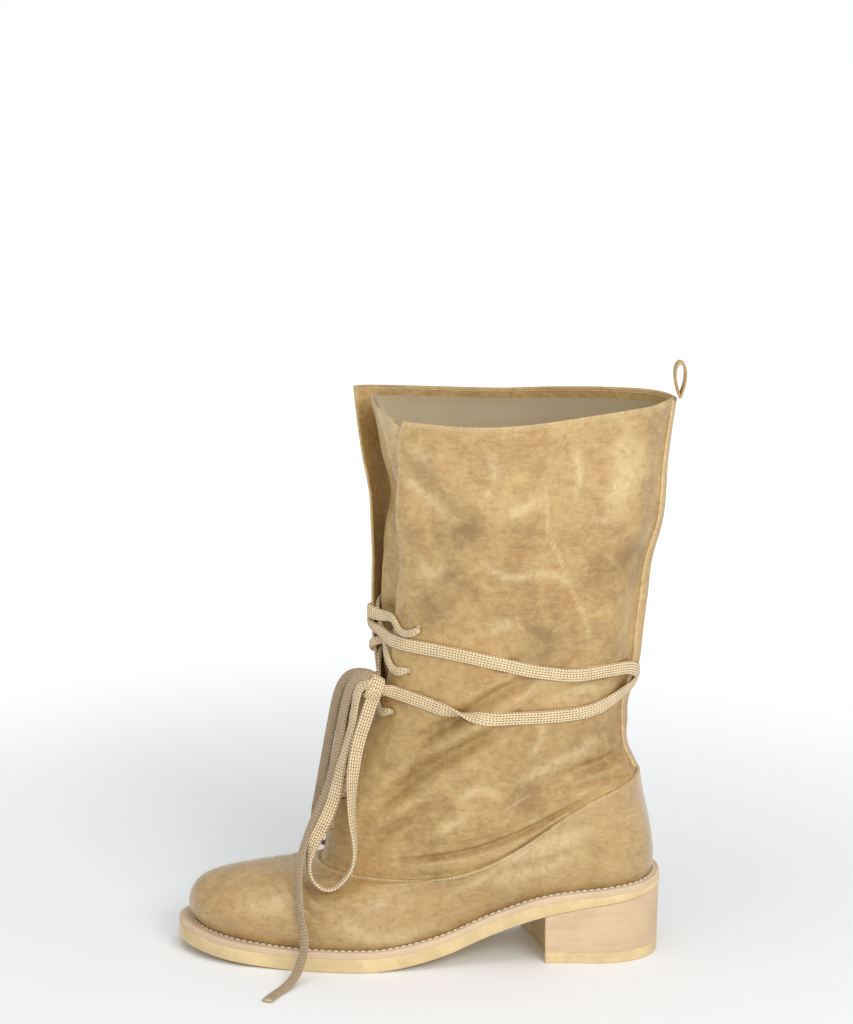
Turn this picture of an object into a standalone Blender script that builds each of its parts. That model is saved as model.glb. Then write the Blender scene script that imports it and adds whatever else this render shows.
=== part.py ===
"""A left lace-up slouch boot, standing empty on its sole.

Toe along +X, outer (lateral) side along +Y, up along +Z, in metres. The tables are in millimetres,
measured from the back of the sole (x), the middle of the heel (y) and the floor (z).
One family of sections, from the sole's edge to the collar, gives the upper, and the tongue,
the back strip and the lace are laid on that same surface.
"""

import math
from collections import namedtuple

import bpy
import numpy as np

MM = 0.001
Point = namedtuple("Point", "x y z")

# Driving sizes.
GAP = 0.3                 # clearance between pieces that meet
WALL = 1.8                # shaft leather
GALOSH_STEP = 1.4         # how far the galosh stands proud of the shaft
FACING_STEP = 1.0         # the folded facing inside the collar
MARGIN_HEEL = 4.4         # how far the sole reaches past the upper at the heel, sides and toe
MARGIN_SIDE = 4.6
MARGIN_TOE = 9.8
WELT_THICK = 3.4
INSOLE_THICK = 3.0
INSOLE_CLEARANCE = 1.2    # inside the wall, whose foot leans in
TOP_PIECE_THICK = 6.5
BREAST_OUTER = 67.5       # front face of the heel at its outer and inner corners
BREAST_INNER = 78.0
BREAST_HOLLOW = 4.5       # how far that face is cupped
HEEL_SET_BACK = 0.3       # of the heel's side from the outsole's edge
HEEL_INSET = 0.6          # taper of the heel's side, all the way down
TONGUE_THICK = 1.4
TONGUE_CLEARANCE = 1.1    # behind the facing
TONGUE_UNDERLAP = 13.0    # how far the tongue reaches behind each flap
BACK_STRIP_HALF = 8.0
BACK_STRIP_THICK = 1.2
STRIP_SHARE = 0.12        # share of the way to the flap within which the lace rides over the strip
LOOP_HEIGHT = 21.0        # pull loop
LOOP_DEPTH = 7.5
LOOP_WIDTH = 10.0
LOOP_THICK = 1.7
LACE_WIDTH = 6.0
LACE_THICK = 1.8
LACE_LIFT = 0.8           # clearance of the lace over the leather
LACE_OVERLAY = 0.5        # how much higher the run on top lies where two cross
CORD_RADIUS = 2.2         # the free lace as a round cord
EYELET_SETBACK = 13.0     # from the flap's edge to the hole's middle
FRAME_X = 132.35          # middle of the boot's box, which becomes the origin
FRAME_Y = -0.05

# Resolution of the faceted solids.
SIDE_STEPS = 20           # columns from the back to the front on each side
LEVEL_STEPS = 2           # rings for each row of the section table
SOLE_STATIONS = 28
SOLE_COLUMNS = 4
BLUNT_HEEL = 0.06         # where the first and last station of a sole layer lie, as angles of a half turn
BLUNT_TOE = 0.02
TONGUE_COLUMNS = 13
WRAP_PLACES = 56
LACE_STEP = 8.0
SHARP_ANGLE = math.radians(40)

# Height of the outsole's underside along the foot, and its thickness.
SOLE_X = (0.0, 35.0, 70.0, 97.0, 126.0, 150.0, 165.0, 203.0, 240.0, 272.0)
SOLE_Z = (39.0, 34.0, 26.5, 17.5, 6.3, 1.4, 0.0, 0.0, 2.0, 6.0)
OUTSOLE_X = (0.0, 14.0, 40.0, 70.0, 150.0, 272.0)
OUTSOLE_THICK = (3.6, 4.2, 5.6, 7.6, 8.0, 8.0)

# Swing of the last: how far the middle line bends to the outer side along the foot.
SWING_T = (0.0, 0.13, 0.42, 0.62, 0.73, 0.88, 1.0)
SWING_Y = (0.0, 0.0, 2.5, 1.0, -2.0, -5.5, -7.5)

# Places along a section, from its back to its front, where its height and width are given.
HEIGHT_T = (0.0, 0.16, 0.42, 0.68, 1.0)
WIDTH_T = (0.13, 0.42, 0.68, 0.87)

# Rows run from the welt to the collar. Widths are half widths; throat is the middle of the gap, and
# gap its half width; recess is how far the tongue lies behind the flaps.
Section = namedtuple(
    "Section",
    "back_x front_x  back_z heel_z waist_z ball_z front_z  heel_w waist_w ball_w toe_w  "
    "swing power  throat gap recess",
)
SECTIONS = (
    Section(7.2, 261.5, 46.5, 42.0, 28.5, 12.3, 15.8, 28.5, 28.5, 40.5, 33.0, 1.00, 2.2, 0, 0.0, 0),
    Section(6.4, 265.6, 55.0, 50.0, 36.0, 23.5, 25.0, 30.8, 31.0, 43.8, 37.0, 1.00, 2.2, 0, 0.0, 0),
    Section(7.2, 263.0, 65.0, 59.0, 43.0, 33.0, 34.0, 31.5, 32.0, 42.4, 35.0, 1.00, 2.2, 0, 0.0, 0),
    Section(9.0, 255.0, 76.0, 68.5, 49.5, 39.8, 40.2, 31.5, 32.5, 39.0, 29.0, 0.95, 2.2, 0, 0.0, 0),
    Section(11.2, 240.0, 86.0, 77.0, 55.0, 44.6, 44.4, 31.0, 33.0, 37.0, 25.0, 0.85, 2.2, 0, 0.0, 0),
    Section(13.2, 217.0, 96.0, 85.0, 59.5, 48.2, 47.0, 30.5, 33.2, 36.5, 25.0, 0.60, 2.2, 0, 0.0, 0),
    Section(15.0, 193.0, 105.0, 93.0, 64.0, 51.5, 52.0, 29.5, 33.5, 37.0, 29.0, 0.40, 2.3, 0, 0.0, 1),
    Section(20.5, 188.5, 117.0, 106.0, 79.0, 68.0, 76.0, 28.5, 34.5, 36.5, 27.0, 0.30, 2.3, 2, 5.0, 3),
    Section(23.5, 179.0, 131.0, 122.0, 98.0, 91.0, 99.0, 28.0, 36.0, 37.0, 26.0, 0.20, 2.4, 5, 8.0, 5),
    Section(21.5, 166.0, 145.0, 139.0, 123.0, 121.0, 127.0, 28.0, 37.5, 38.0, 26.0, 0.10, 2.4, 7, 10.0, 7),
    Section(15.5, 158.5, 164.0, 160.0, 151.0, 151.0, 155.0, 28.5, 39.5, 40.0, 27.0, 0.0, 2.5, 8, 11.0, 8),
    Section(13.0, 155.0, 185.0, 184.0, 181.0, 181.0, 183.0, 29.0, 41.0, 41.5, 29.0, 0.0, 2.5, 8, 12.0, 8),
    Section(10.5, 153.5, 207.0, 207.0, 207.0, 208.0, 209.0, 30.0, 43.0, 43.0, 31.0, 0.0, 2.5, 8, 13.0, 8),
    Section(8.0, 154.0, 228.0, 229.0, 230.0, 231.0, 232.0, 30.5, 44.5, 44.5, 33.0, 0.0, 2.6, 8, 14.0, 7),
    Section(2.5, 155.5, 250.0, 252.0, 254.0, 255.0, 256.0, 31.0, 46.0, 46.5, 34.5, 0.0, 2.6, 7, 16.0, 5),
    Section(0.5, 158.5, 280.0, 281.0, 281.0, 282.0, 283.0, 31.0, 47.5, 48.0, 36.0, 0.0, 2.6, 5, 22.0, 1),
    Section(-4.0, 165.0, 317.0, 316.0, 313.0, 311.0, 312.0, 30.5, 49.0, 49.5, 38.0, 0.0, 2.6, 3, 33.0, 0.5),
)
FEATHER = 0               # row where the upper meets the welt
SEAM = 6                  # row of the seam between galosh and shaft, and foot of the throat
COLLAR = len(SECTIONS) - 1
TONGUE_FOOT = SEAM - 0.3
TONGUE_TOP = COLLAR - 0.04
STRIP_FOOT = SEAM + 0.15
STRIP_TOP = COLLAR - 0.02

# The front of the inner flap stands ahead of its section and a little above it: how far, at levels.
# It builds up along the section and across the throat, from shares of the half gap.
LEAN_LEVEL = (9.2, 9.8, 10.4, 11.0, 12.0, 13.0, 14.0, 15.0, 16.0)
LEAN_X = (0.0, 1.2, 5.2, 8.3, 9.3, 8.5, 8.3, 13.5, 18.5)
LEAN_Z = (0.0, 0.0, 0.0, 0.0, 0.0, 0.0, 0.0, 1.0, 6.0)
LEAN_ALONG = (0.5, 0.95)
LEAN_ACROSS = (-0.2, 1.0)

# Eyelets, from the lowest pair up, as levels of the section table.
EYELET_LEVELS = (7.2, 8.05, 8.85, 9.65, 10.45, 11.35)

# Each lace end leaves the throat over one flap, goes round the back and comes to the knot over the
# other flap. Places are on the side where it starts, and mirrored for the other end.
Place = namedtuple("Place", "share level")
WRAP = (
    Place(1.0, 11.12), Place(0.97, 11.1), Place(0.8, 11.05), Place(0.6, 10.9), Place(0.39, 10.65),
    Place(0.22, 10.25), Place(0.0, 9.75), Place(-0.1, 9.47), Place(-0.21, 9.42), Place(-0.4, 9.75),
    Place(-0.56, 9.87), Place(-0.7, 9.87), Place(-0.84, 10.0), Place(-0.97, 10.06),
)

# The bow: its knot in front of the throat, and the routes of its loops and ends.
KNOT = Point(163.5, 20.0, 157.5)
KNOT_SIZE = Point(3.5, 8.0, 7.0)
KNOT_ENDS = (Point(160.6, 25.2, 157.0), Point(163.3, 10.2, 153.6))    # where the turns stop, outer first
KNOT_TILT = 0.46 * math.pi     # where the lump's ends are cut, and how far its turns stand out
KNOT_RIDGE = 0.06
LOOP_OUTER = (
    Point(167.08, 20, 153.08), Point(170.6, 19.9, 150), Point(173.2, 19.6, 143.7), Point(176.7, 19, 127.3),
    Point(181, 20, 111.4), Point(185.3, 22, 93.4), Point(191.3, 25, 79.8), Point(196.7, 27, 68.8),
    Point(199.1, 30, 57.5), Point(196.1, 34, 49.4), Point(188.6, 36.5, 45.8), Point(179.7, 36.5, 51.3),
    Point(174.6, 36, 59.8), Point(173.4, 34, 70.8), Point(174.7, 32, 83.6), Point(175.1, 30, 98.7),
    Point(173.6, 28, 115.5), Point(170.4, 26, 130.5), Point(166.6, 24, 142), Point(163.8, 22, 150.4),
)
LOOP_INNER = (
    Point(165.45, 12.8, 157.8), Point(168.4, 10.2, 158.8), Point(172, 7, 159.3), Point(176.3, 2.8, 157.4),
    Point(180, -1.2, 151), Point(183, -4.6, 141.5), Point(187.4, -8, 119.4), Point(191, -11, 97.9),
    Point(193.9, -15, 80.1), Point(195.2, -21, 65.7), Point(193.5, -28, 54.7), Point(189, -34, 49.8),
    Point(184.3, -37.5, 53.1), Point(181.9, -37.5, 64.5), Point(181.3, -33, 81.4), Point(180.6, -25.5, 102),
    Point(179.5, -16, 124), Point(177.6, -7.5, 140.9), Point(175, 1, 148.6), Point(170.6, 9.8, 152.6),
    Point(165.6, 13.8, 154.4),
)
END_OUTER = (
    Point(166.9, 15.7, 161.3), Point(170, 14.8, 161.9), Point(174, 13.5, 159.8), Point(176.9, 12.3, 154.5),
    Point(178.6, 11.3, 146.5), Point(181.4, 10.5, 127.7), Point(184.9, 11, 108.7), Point(189.5, 14, 93.9),
    Point(195.7, 18, 80.6), Point(200.9, 23, 69.3), Point(204, 30, 59.9), Point(204.7, 37, 48.8),
    Point(204.3, 43, 39.1), Point(203, 48.5, 29.2), Point(201.8, 52.5, 20), Point(203.6, 57, 11.5),
    Point(207, 63, 5.6), Point(211.5, 70.5, 2.8), Point(217.2, 80, 2.5), Point(222, 91, 2.5),
)
END_INNER = (
    Point(164.8, 16.9, 151.1), Point(167, 15.3, 148), Point(169.6, 10.5, 142.3), Point(171.6, 3, 136.5),
    Point(173.6, -4, 129.5), Point(176.6, -11.5, 115.5), Point(181, -19, 97.5), Point(184.8, -26, 80.5),
    Point(190, -33, 64.5), Point(199, -42, 47), Point(203, -50.5, 31), Point(205, -54, 15),
    Point(208, -57, 5), Point(214, -60, 2.6), Point(224, -62.5, 2.5), Point(236, -62, 2.5),
)

# Colours.
LEATHER = (0.39, 0.25, 0.115)
LINING = (0.45, 0.36, 0.22)
CREPE = (0.72, 0.47, 0.19)
WELT = (0.68, 0.46, 0.29)
STACK = (0.60, 0.40, 0.24)
LACE = (0.33, 0.23, 0.125)


def spline(knots, values, at):
    """Natural cubic curve through rows of values at knots, carried on straight past both ends."""
    knots, values, at = (np.asarray(given, float) for given in (knots, values, at))
    columns = values.reshape(len(knots), -1)
    step = np.diff(knots)
    slope = np.diff(columns, axis=0) / step[:, None]
    matrix, right = np.eye(len(knots)), np.zeros_like(columns)
    for i in range(1, len(knots) - 1):
        matrix[i, i - 1:i + 2] = step[i - 1], 2 * (step[i - 1] + step[i]), step[i]
        right[i] = 6 * (slope[i] - slope[i - 1])
    bend = np.linalg.solve(matrix, right)
    flat = np.atleast_1d(at)
    i = np.clip(np.searchsorted(knots, flat) - 1, 0, len(knots) - 2)
    inside = np.clip(flat, knots[0], knots[-1])
    a, b, h = ((knots[i + 1] - inside)[:, None], (inside - knots[i])[:, None], step[i][:, None])
    found = (bend[i] * a ** 3 + bend[i + 1] * b ** 3) / (6 * h)
    found += (columns[i] / h - bend[i] * h / 6) * a + (columns[i + 1] / h - bend[i + 1] * h / 6) * b
    found += np.minimum(flat - knots[0], 0)[:, None] * (slope[0] - step[0] * bend[1] / 6)
    found += np.maximum(flat - knots[-1], 0)[:, None] * (slope[-1] + step[-1] * bend[-2] / 6)
    return found.reshape(*at.shape, *values.shape[1:])


def steady(knots, values, at):
    """Cubic curve through values at knots that never overshoots them, level past both ends."""
    knots, values = np.asarray(knots, float), np.asarray(values, float)
    step = np.diff(knots)
    slope = np.diff(values) / step
    same_way = slope[:-1] * slope[1:] > 0
    safe = np.where(same_way, slope[:-1] + slope[1:], 1.0)
    inner = np.where(same_way, 2 * slope[:-1] * slope[1:] / safe, 0.0)
    tangent = np.concatenate([slope[:1], inner, slope[-1:]])
    at = np.clip(at, knots[0], knots[-1])
    i = np.clip(np.searchsorted(knots, at) - 1, 0, len(step) - 1)
    s = (at - knots[i]) / step[i]
    ends = values[i] * (1 + 2 * s) * (1 - s) ** 2 + values[i + 1] * s ** 2 * (3 - 2 * s)
    return ends + step[i] * (tangent[i] * s * (1 - s) ** 2 - tangent[i + 1] * s ** 2 * (1 - s))


def ease(value, start, stop):
    """Smooth step from 0 at start to 1 at stop."""
    s = np.clip((value - start) / (stop - start), 0, 1)
    return s * s * (3 - 2 * s)


def sole_bottom(x):
    return steady(SOLE_X, SOLE_Z, x)


def outsole_top(x):
    return sole_bottom(x) + steady(OUTSOLE_X, OUTSOLE_THICK, x)


def welt_top(x):
    return outsole_top(x) + GAP + WELT_THICK


def level_at(x, height):
    """The same height everywhere."""
    return np.full_like(x, height)


def section_at(level):
    """The section table read at a level between its rows; the throat is shut up to the seam."""
    found = Section(*spline(range(len(SECTIONS)), SECTIONS, level))
    return found if level > SEAM else found._replace(gap=0.0)


def section_heights(s, t):
    return spline(HEIGHT_T, (s.back_z, s.heel_z, s.waist_z, s.ball_z, s.front_z), t)


def half_ring(level, side, count=300):
    """Points of one side of a section, from the back to the front; side is 1 outer, -1 inner."""
    s = section_at(level)
    t = (1 - np.cos(np.linspace(0, math.pi, count))) / 2
    width = spline(WIDTH_T, (s.heel_w, s.waist_w, s.ball_w, s.toe_w), t)
    back = np.clip((WIDTH_T[0] - t) / WIDTH_T[0], 0, 1)
    front = np.clip((t - WIDTH_T[-1]) / (1 - WIDTH_T[-1]), 0, 1)
    round_ends = ((1 - back ** s.power) * (1 - front ** s.power)) ** (1 / s.power)
    x = s.back_x + (s.front_x - s.back_x) * t
    y = s.swing * spline(SWING_T, SWING_Y, t) + side * width * round_ends
    on_welt = max(0.0, 1 - level) ** 2
    sole_line = welt_top(x) + GAP - section_heights(SECTIONS[FEATHER], t)
    z = section_heights(s, t) + on_welt * sole_line
    lean = ease(t, *LEAN_ALONG) * ease((s.throat - y) / max(s.gap, 1.0), *LEAN_ACROSS)
    x = x + lean * steady(LEAN_LEVEL, LEAN_X, level)
    return np.stack([x, y, z + lean * steady(LEAN_LEVEL, LEAN_Z, level)], axis=1)


def distances(points):
    return np.concatenate([[0], np.cumsum(np.linalg.norm(np.diff(points, axis=0), axis=1))])


def along(points, lengths):
    """Points read at distances along a line."""
    far = distances(points)
    return np.stack([np.interp(lengths, far, points[:, k]) for k in range(3)], axis=1)


def smooth_line(points, step):
    """Points about a step apart on a smooth curve through a route's own points."""
    points = np.asarray(points, float)
    fine = spline(distances(points), points, np.linspace(0, distances(points)[-1], 40 * len(points)))
    total = distances(fine)[-1]
    return along(fine, np.linspace(0, total, max(3, round(total / step) + 1)))


def flap_length(level, side):
    """Length round one side of a section, from the back to the flap's edge at the throat."""
    points = half_ring(level, side)
    s = section_at(level)
    past = (points[:, 0] > (s.back_x + s.front_x) / 2) & (np.abs(points[:, 1] - s.throat) < s.gap)
    end = int(np.argmax(past)) if past.any() else len(points) - 1
    return distances(points)[end]


def ring(level, shares):
    """Section points at shares of the way from the back (0) to the outer (1) or inner (-1) flap's edge."""
    found = np.empty((len(shares), 3))
    for side in (-1, 1):
        picked = shares * side >= 0
        found[picked] = along(half_ring(level, side), np.abs(shares[picked]) * flap_length(level, side))
    return found


def throat_line(level):
    """The front of a section across the throat, from the inner side to the outer, as if uncut."""
    inner, outer = half_ring(level, -1), half_ring(level, 1)
    half = len(inner) // 2
    return np.concatenate([inner[half:], outer[-2:half:-1]])


def grid_normals(grid):
    """Unit normals of a grid; a grid that closes on itself has one normal along its joint."""
    across, up = np.gradient(grid, axis=1), np.gradient(grid, axis=0)
    normal = np.cross(across, up)
    joined = np.linalg.norm(grid[:, 0] - grid[:, -1], axis=1) < 1e-6
    normal[joined, 0] = normal[joined, -1] = normal[joined, 0] + normal[joined, -1]
    return normal / np.linalg.norm(normal, axis=2, keepdims=True)


def on_upper(level, share, lift):
    """A point at a height over the upper, and the outward normal there."""
    step = 0.004
    shares = np.clip(share, step - 1, 1 - step) + np.array([step, 0, -step])
    grid = np.stack([ring(at, shares) for at in (level - step, level, level + step)])
    normal = grid_normals(grid)[1, 1]
    return grid[1, 1] + lift * normal, normal


def material(name, colour, roughness):
    made = bpy.data.materials.new(name)
    made.use_nodes = True
    shader = made.node_tree.nodes["Principled BSDF"]
    shader.inputs["Base Color"].default_value = (*colour, 1.0)
    shader.inputs["Roughness"].default_value = roughness
    shader.inputs["Metallic"].default_value = 0.0
    return made


def add_object(name, data, finish, parent):
    data.materials.append(finish)
    made = bpy.data.objects.new(name, data)
    made.parent = parent
    bpy.context.scene.collection.objects.link(made)
    return made


def add_solid(name, points, faces, finish, parent):
    """One named object from points in millimetres and its faces."""
    mesh = bpy.data.meshes.new(name)
    mesh.from_pydata((np.asarray(points) * MM).tolist(), [], [[int(n) for n in face] for face in faces])
    mesh.shade_smooth()
    mesh.set_sharp_from_angle(angle=SHARP_ANGLE)
    return add_object(name, mesh, finish, parent)


def strip(first, second, closed=False):
    """Quads between two rows of vertex numbers."""
    if closed:
        first, second = [*first, first[0]], [*second, second[0]]
    return list(zip(first[:-1], first[1:], second[1:], second[:-1]))


def turned(faces):
    return [face[::-1] for face in faces]


def rings_solid(rings):
    """Points and faces of a solid whose rings follow each other, with both ends capped."""
    rows = np.arange(len(rings) * len(rings[0])).reshape(len(rings), -1)
    faces = [face for a, b in zip(rows, rows[1:]) for face in strip(a, b, closed=True)]
    return np.concatenate(rings), [*faces, rows[0][::-1], rows[-1]]


def sheet_solid(outside, inside):
    """Points and faces of a sheet between two grids, closed round its rim."""
    rows, columns = outside.shape[:2]
    out = np.arange(rows * columns).reshape(rows, columns)
    behind = rows * columns
    faces = [face for a, b in zip(out, out[1:]) for face in strip(a, b)]
    faces += turned([tuple(n + behind for n in face) for face in faces])
    rim = np.array([*out[0], *out[1:, -1], *out[-1, -2::-1], *out[-2:0:-1, 0]])
    faces += turned(strip(rim, rim + behind, closed=True))
    return np.concatenate([outside.reshape(-1, 3), inside.reshape(-1, 3)]), faces


def used_points(points, faces):
    """The points that faces use, with the faces renumbered and their repeated corners dropped."""
    faces = [tuple(dict.fromkeys(face)) for face in faces]
    used = sorted({n for face in faces for n in face})
    place = {n: i for i, n in enumerate(used)}
    return points[used], [[place[n] for n in face] for face in faces if len(face) > 2]


def upper(finish, parent):
    """One hollow wall from the welt to the collar, open at the collar, the throat and underneath.

    The galosh is a step out of the wall below the seam, and the facing a step in below the collar.
    """
    levels = np.linspace(FEATHER, COLLAR, (COLLAR - FEATHER) * LEVEL_STEPS + 1)
    seam = SEAM * LEVEL_STEPS
    hem = len(levels) - 2
    grid = np.stack([ring(level, np.linspace(1, -1, 2 * SIDE_STEPS + 1)) for level in levels])
    normal = grid_normals(grid)
    outside = np.insert(grid, seam + 1, grid[seam], axis=0)
    outside[:seam + 1] += GALOSH_STEP * normal[:seam + 1]
    inside = np.insert(grid - WALL * normal, hem, grid[hem] - WALL * normal[hem], axis=0)
    inside[hem + 1:] -= FACING_STEP * normal[hem:]
    for rim in (outside[0], inside[0]):
        rim[:, 2] = welt_top(rim[:, 0]) + GAP
    rows, columns = outside.shape[:2]
    out = np.arange(rows * columns).reshape(rows, columns)
    inn = out + rows * columns
    out[:seam + 2, -1] = out[:seam + 2, 0]
    inn[:seam + 1, -1] = inn[:seam + 1, 0]
    faces = [face for a, b in zip(out, out[1:]) for face in strip(a, b)]
    faces += turned([face for a, b in zip(inn, inn[1:]) for face in strip(a, b)])
    faces += strip(inn[0], out[0]) + strip(out[-1], inn[-1])
    for column in (0, -1):
        outer_edge = np.insert(out[seam + 1:, column], hem - seam, out[hem + 1, column])
        edge = strip(outer_edge, inn[seam:, column])
        faces += turned(edge) if column else edge
    points = np.concatenate([outside.reshape(-1, 3), inside.reshape(-1, 3)])
    return add_solid("upper", *used_points(points, faces), finish, parent)


def tongue(finish, parent):
    """The bellows behind the throat, reaching behind both flaps and sunk between them."""
    levels = np.linspace(TONGUE_FOOT, TONGUE_TOP, 2 * (COLLAR - SEAM) + 1)
    shares = np.linspace(-1, 1, TONGUE_COLUMNS)
    grid = []
    for level in levels:
        s = section_at(level)
        line = throat_line(level)
        marks = (s.throat - s.gap, s.throat, s.throat + s.gap)
        inner, middle, outer = np.interp(marks, line[:, 1], distances(line))
        reach = (inner - TONGUE_UNDERLAP, middle, outer + TONGUE_UNDERLAP)
        grid.append(along(line, np.interp(shares, (-1, 0, 1), reach)))
    grid = np.stack(grid)
    normal = grid_normals(grid)
    recess = np.array([section_at(level).recess for level in levels])
    sink = WALL + FACING_STEP + TONGUE_CLEARANCE + recess[:, None] * np.cos(shares * math.pi / 2) ** 2
    outside = grid - normal * sink[:, :, None]
    return add_solid("tongue", *sheet_solid(outside, outside - normal * TONGUE_THICK), finish, parent)


def back_strip(finish, parent):
    """The strap over the back seam, from the counter's top to the collar."""
    levels = np.linspace(STRIP_FOOT, STRIP_TOP, 2 * (COLLAR - SEAM) + 1)
    across = np.array([1.0, 0.5, 0.0, -0.5, -1.0]) * BACK_STRIP_HALF
    grid = np.stack([
        np.stack([along(half_ring(level, 1 if reach >= 0 else -1), [abs(reach)])[0] for reach in across])
        for level in levels
    ])
    normal = grid_normals(grid)
    inside = grid + normal * GAP
    return add_solid("back_strip", *sheet_solid(inside + normal * BACK_STRIP_THICK, inside), finish, parent)


def pull_loop(finish, parent):
    """A strap folded to a drop standing on the collar's back."""
    turn = np.linspace(0, 2 * math.pi, 24, endpoint=False)
    foot = half_ring(COLLAR, 1)[0] + (0, 0, GAP)
    drop = np.sin(turn) * np.sin(turn / 2)
    depth = drop / np.ptp(drop) * LOOP_DEPTH
    outline = np.stack([depth, (1 - np.cos(turn)) / 2 * LOOP_HEIGHT], axis=1)
    middle = outline.mean(axis=0)
    hole = middle + (outline - middle) * (1 - 2 * LOOP_THICK / np.array([LOOP_DEPTH, LOOP_HEIGHT]))
    rings = []
    for outer, inner in zip(outline, hole):
        corners = ((outer, 1), (inner, 1), (inner, -1), (outer, -1))
        rings.append([foot + (flat[0], side * LOOP_WIDTH / 2, flat[1]) for flat, side in corners])
    rows = np.arange(4 * len(rings)).reshape(-1, 4)
    pairs = zip(rows, np.roll(rows, -1, axis=0))
    faces = [face for a, b in pairs for face in strip(a, b, closed=True)]
    return add_solid("pull_loop", np.concatenate(rings), faces, finish, parent)


def sole_outline(side, margin):
    """Plan of one side of the upper's foot moved outwards by margins at heel, sides and toe."""
    points = half_ring(FEATHER, side)[:, :2]
    run = np.gradient(points, axis=0)
    outward = np.stack([-run[:, 1], run[:, 0]], axis=1) * side
    outward[[0, -1]] = (-1, 0), (1, 0)
    outward /= np.linalg.norm(outward, axis=1, keepdims=True)
    share = np.linspace(0, 1, len(points))
    return points + outward * np.interp(share, (0, 0.35, 0.65, 1), margin)[:, None]


def plan_grid(margin, front=None):
    """Places of a sole layer: rows along the foot, columns from its outer to its inner side.

    front, where given, is the line that the layer stops at, as a function of the way across.
    """
    outer, inner = sole_outline(1, margin), sole_outline(-1, margin)
    start, stop = outer[0, 0], outer[-1, 0]
    last = 1 if front else 1 - BLUNT_TOE
    way = (1 - np.cos(np.linspace(BLUNT_HEEL, last, SOLE_STATIONS) * math.pi)) / 2
    across = np.linspace(0, 1, SOLE_COLUMNS)
    grid = np.empty((len(way), len(across), 2))
    for k, share in enumerate(across):
        reach = (front(share) if front else stop) - start
        grid[:, k, 0] = start + reach * way
    y_outer = np.interp(grid[:, 0, 0], outer[:, 0], outer[:, 1])
    y_inner = np.interp(grid[:, -1, 0], inner[:, 0], inner[:, 1])
    grid[:, :, 1] = y_outer[:, None] + (y_inner - y_outer)[:, None] * across
    return grid


def layer(name, plan, low, high, finish, parent, low_plan=None):
    """A sole layer between two heights, each a function of the distance along the foot."""
    low_plan = plan if low_plan is None else low_plan
    top = np.concatenate([plan, high(plan[..., :1])], axis=2)
    bottom = np.concatenate([low_plan, low(low_plan[..., :1])], axis=2)
    return add_solid(name, *sheet_solid(top, bottom), finish, parent)


def breast(share):
    """Front line of the heel from its outer (0) to its inner (1) corner, slanted and cupped."""
    return BREAST_OUTER + (BREAST_INNER - BREAST_OUTER) * share - 4 * BREAST_HOLLOW * share * (1 - share)


def sole(crepe, welt_leather, stack, lining, parent):
    """Outsole, welt, stacked heel, top piece and the insole inside the upper."""
    edge = np.array([MARGIN_HEEL, MARGIN_SIDE, MARGIN_SIDE, MARGIN_TOE]) + GALOSH_STEP
    plan = plan_grid(edge)
    layer("outsole", plan, sole_bottom, outsole_top, crepe, parent)
    layer("welt", plan, lambda x: outsole_top(x) + GAP, welt_top, welt_leather, parent)
    heel_plan = plan_grid(edge - HEEL_SET_BACK, breast)
    foot_plan = plan_grid(edge - HEEL_SET_BACK - HEEL_INSET, breast)
    layer(
        "heel_block", heel_plan, lambda x: level_at(x, TOP_PIECE_THICK + GAP),
        lambda x: sole_bottom(x) - GAP, stack, parent, foot_plan,
    )
    layer(
        "heel_top_piece", foot_plan, lambda x: level_at(x, 0.0),
        lambda x: level_at(x, TOP_PIECE_THICK), crepe, parent,
    )
    inside = plan_grid(np.full(len(edge), -WALL - INSOLE_CLEARANCE))
    layer(
        "insole", inside, lambda x: welt_top(x) + GAP,
        lambda x: welt_top(x) + GAP + INSOLE_THICK, lining, parent,
    )


def ribbon(centres, normals):
    """Points and faces of a flat lace whose underside follows a line, turned to face the normals."""
    run = np.gradient(centres, axis=0)
    run /= np.linalg.norm(run, axis=1, keepdims=True)
    across = np.cross(normals, run)
    across /= np.linalg.norm(across, axis=1, keepdims=True)
    up = np.cross(run, across)
    side, top = across * LACE_WIDTH / 2, up * LACE_THICK
    rings = np.stack([centres - side, centres + side, centres + side + top, centres - side + top], axis=1)
    return rings_solid(list(rings))


def laid_ribbon(places, lift, end=None):
    """A lace over places on the upper, lifted over the back strip, with a free end where one is given."""
    points, normals = [], []
    for share, level in places:
        over_strip = (GAP + BACK_STRIP_THICK) * math.exp(-(share / STRIP_SHARE) ** 6)
        point, normal = on_upper(level, share, lift + over_strip)
        points.append(point)
        normals.append(normal)
    if end is not None:
        points.append(np.array(end))
        normals.append(normals[-1])
    points, normals = np.stack(points), np.stack(normals)
    centres = smooth_line(points, LACE_STEP)
    way = distances(points) / distances(points)[-1]
    turned_normals = spline(way, normals, np.linspace(0, 1, len(centres)))
    return ribbon(centres, turned_normals)


def eyelet_share(level, side):
    return side * (1 - EYELET_SETBACK / flap_length(level, side))


def wrap_places():
    """The lace's turn round the ankle, read closely enough to follow the leather and the back strip."""
    table = np.array(WRAP[::-1])
    shares = np.linspace(table[-1, 0], table[0, 0], WRAP_PLACES)
    levels = spline(table[:, 0], table[:, 1], shares)
    return [Place(share, float(level)) for share, level in zip(shares, levels)]


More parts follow.
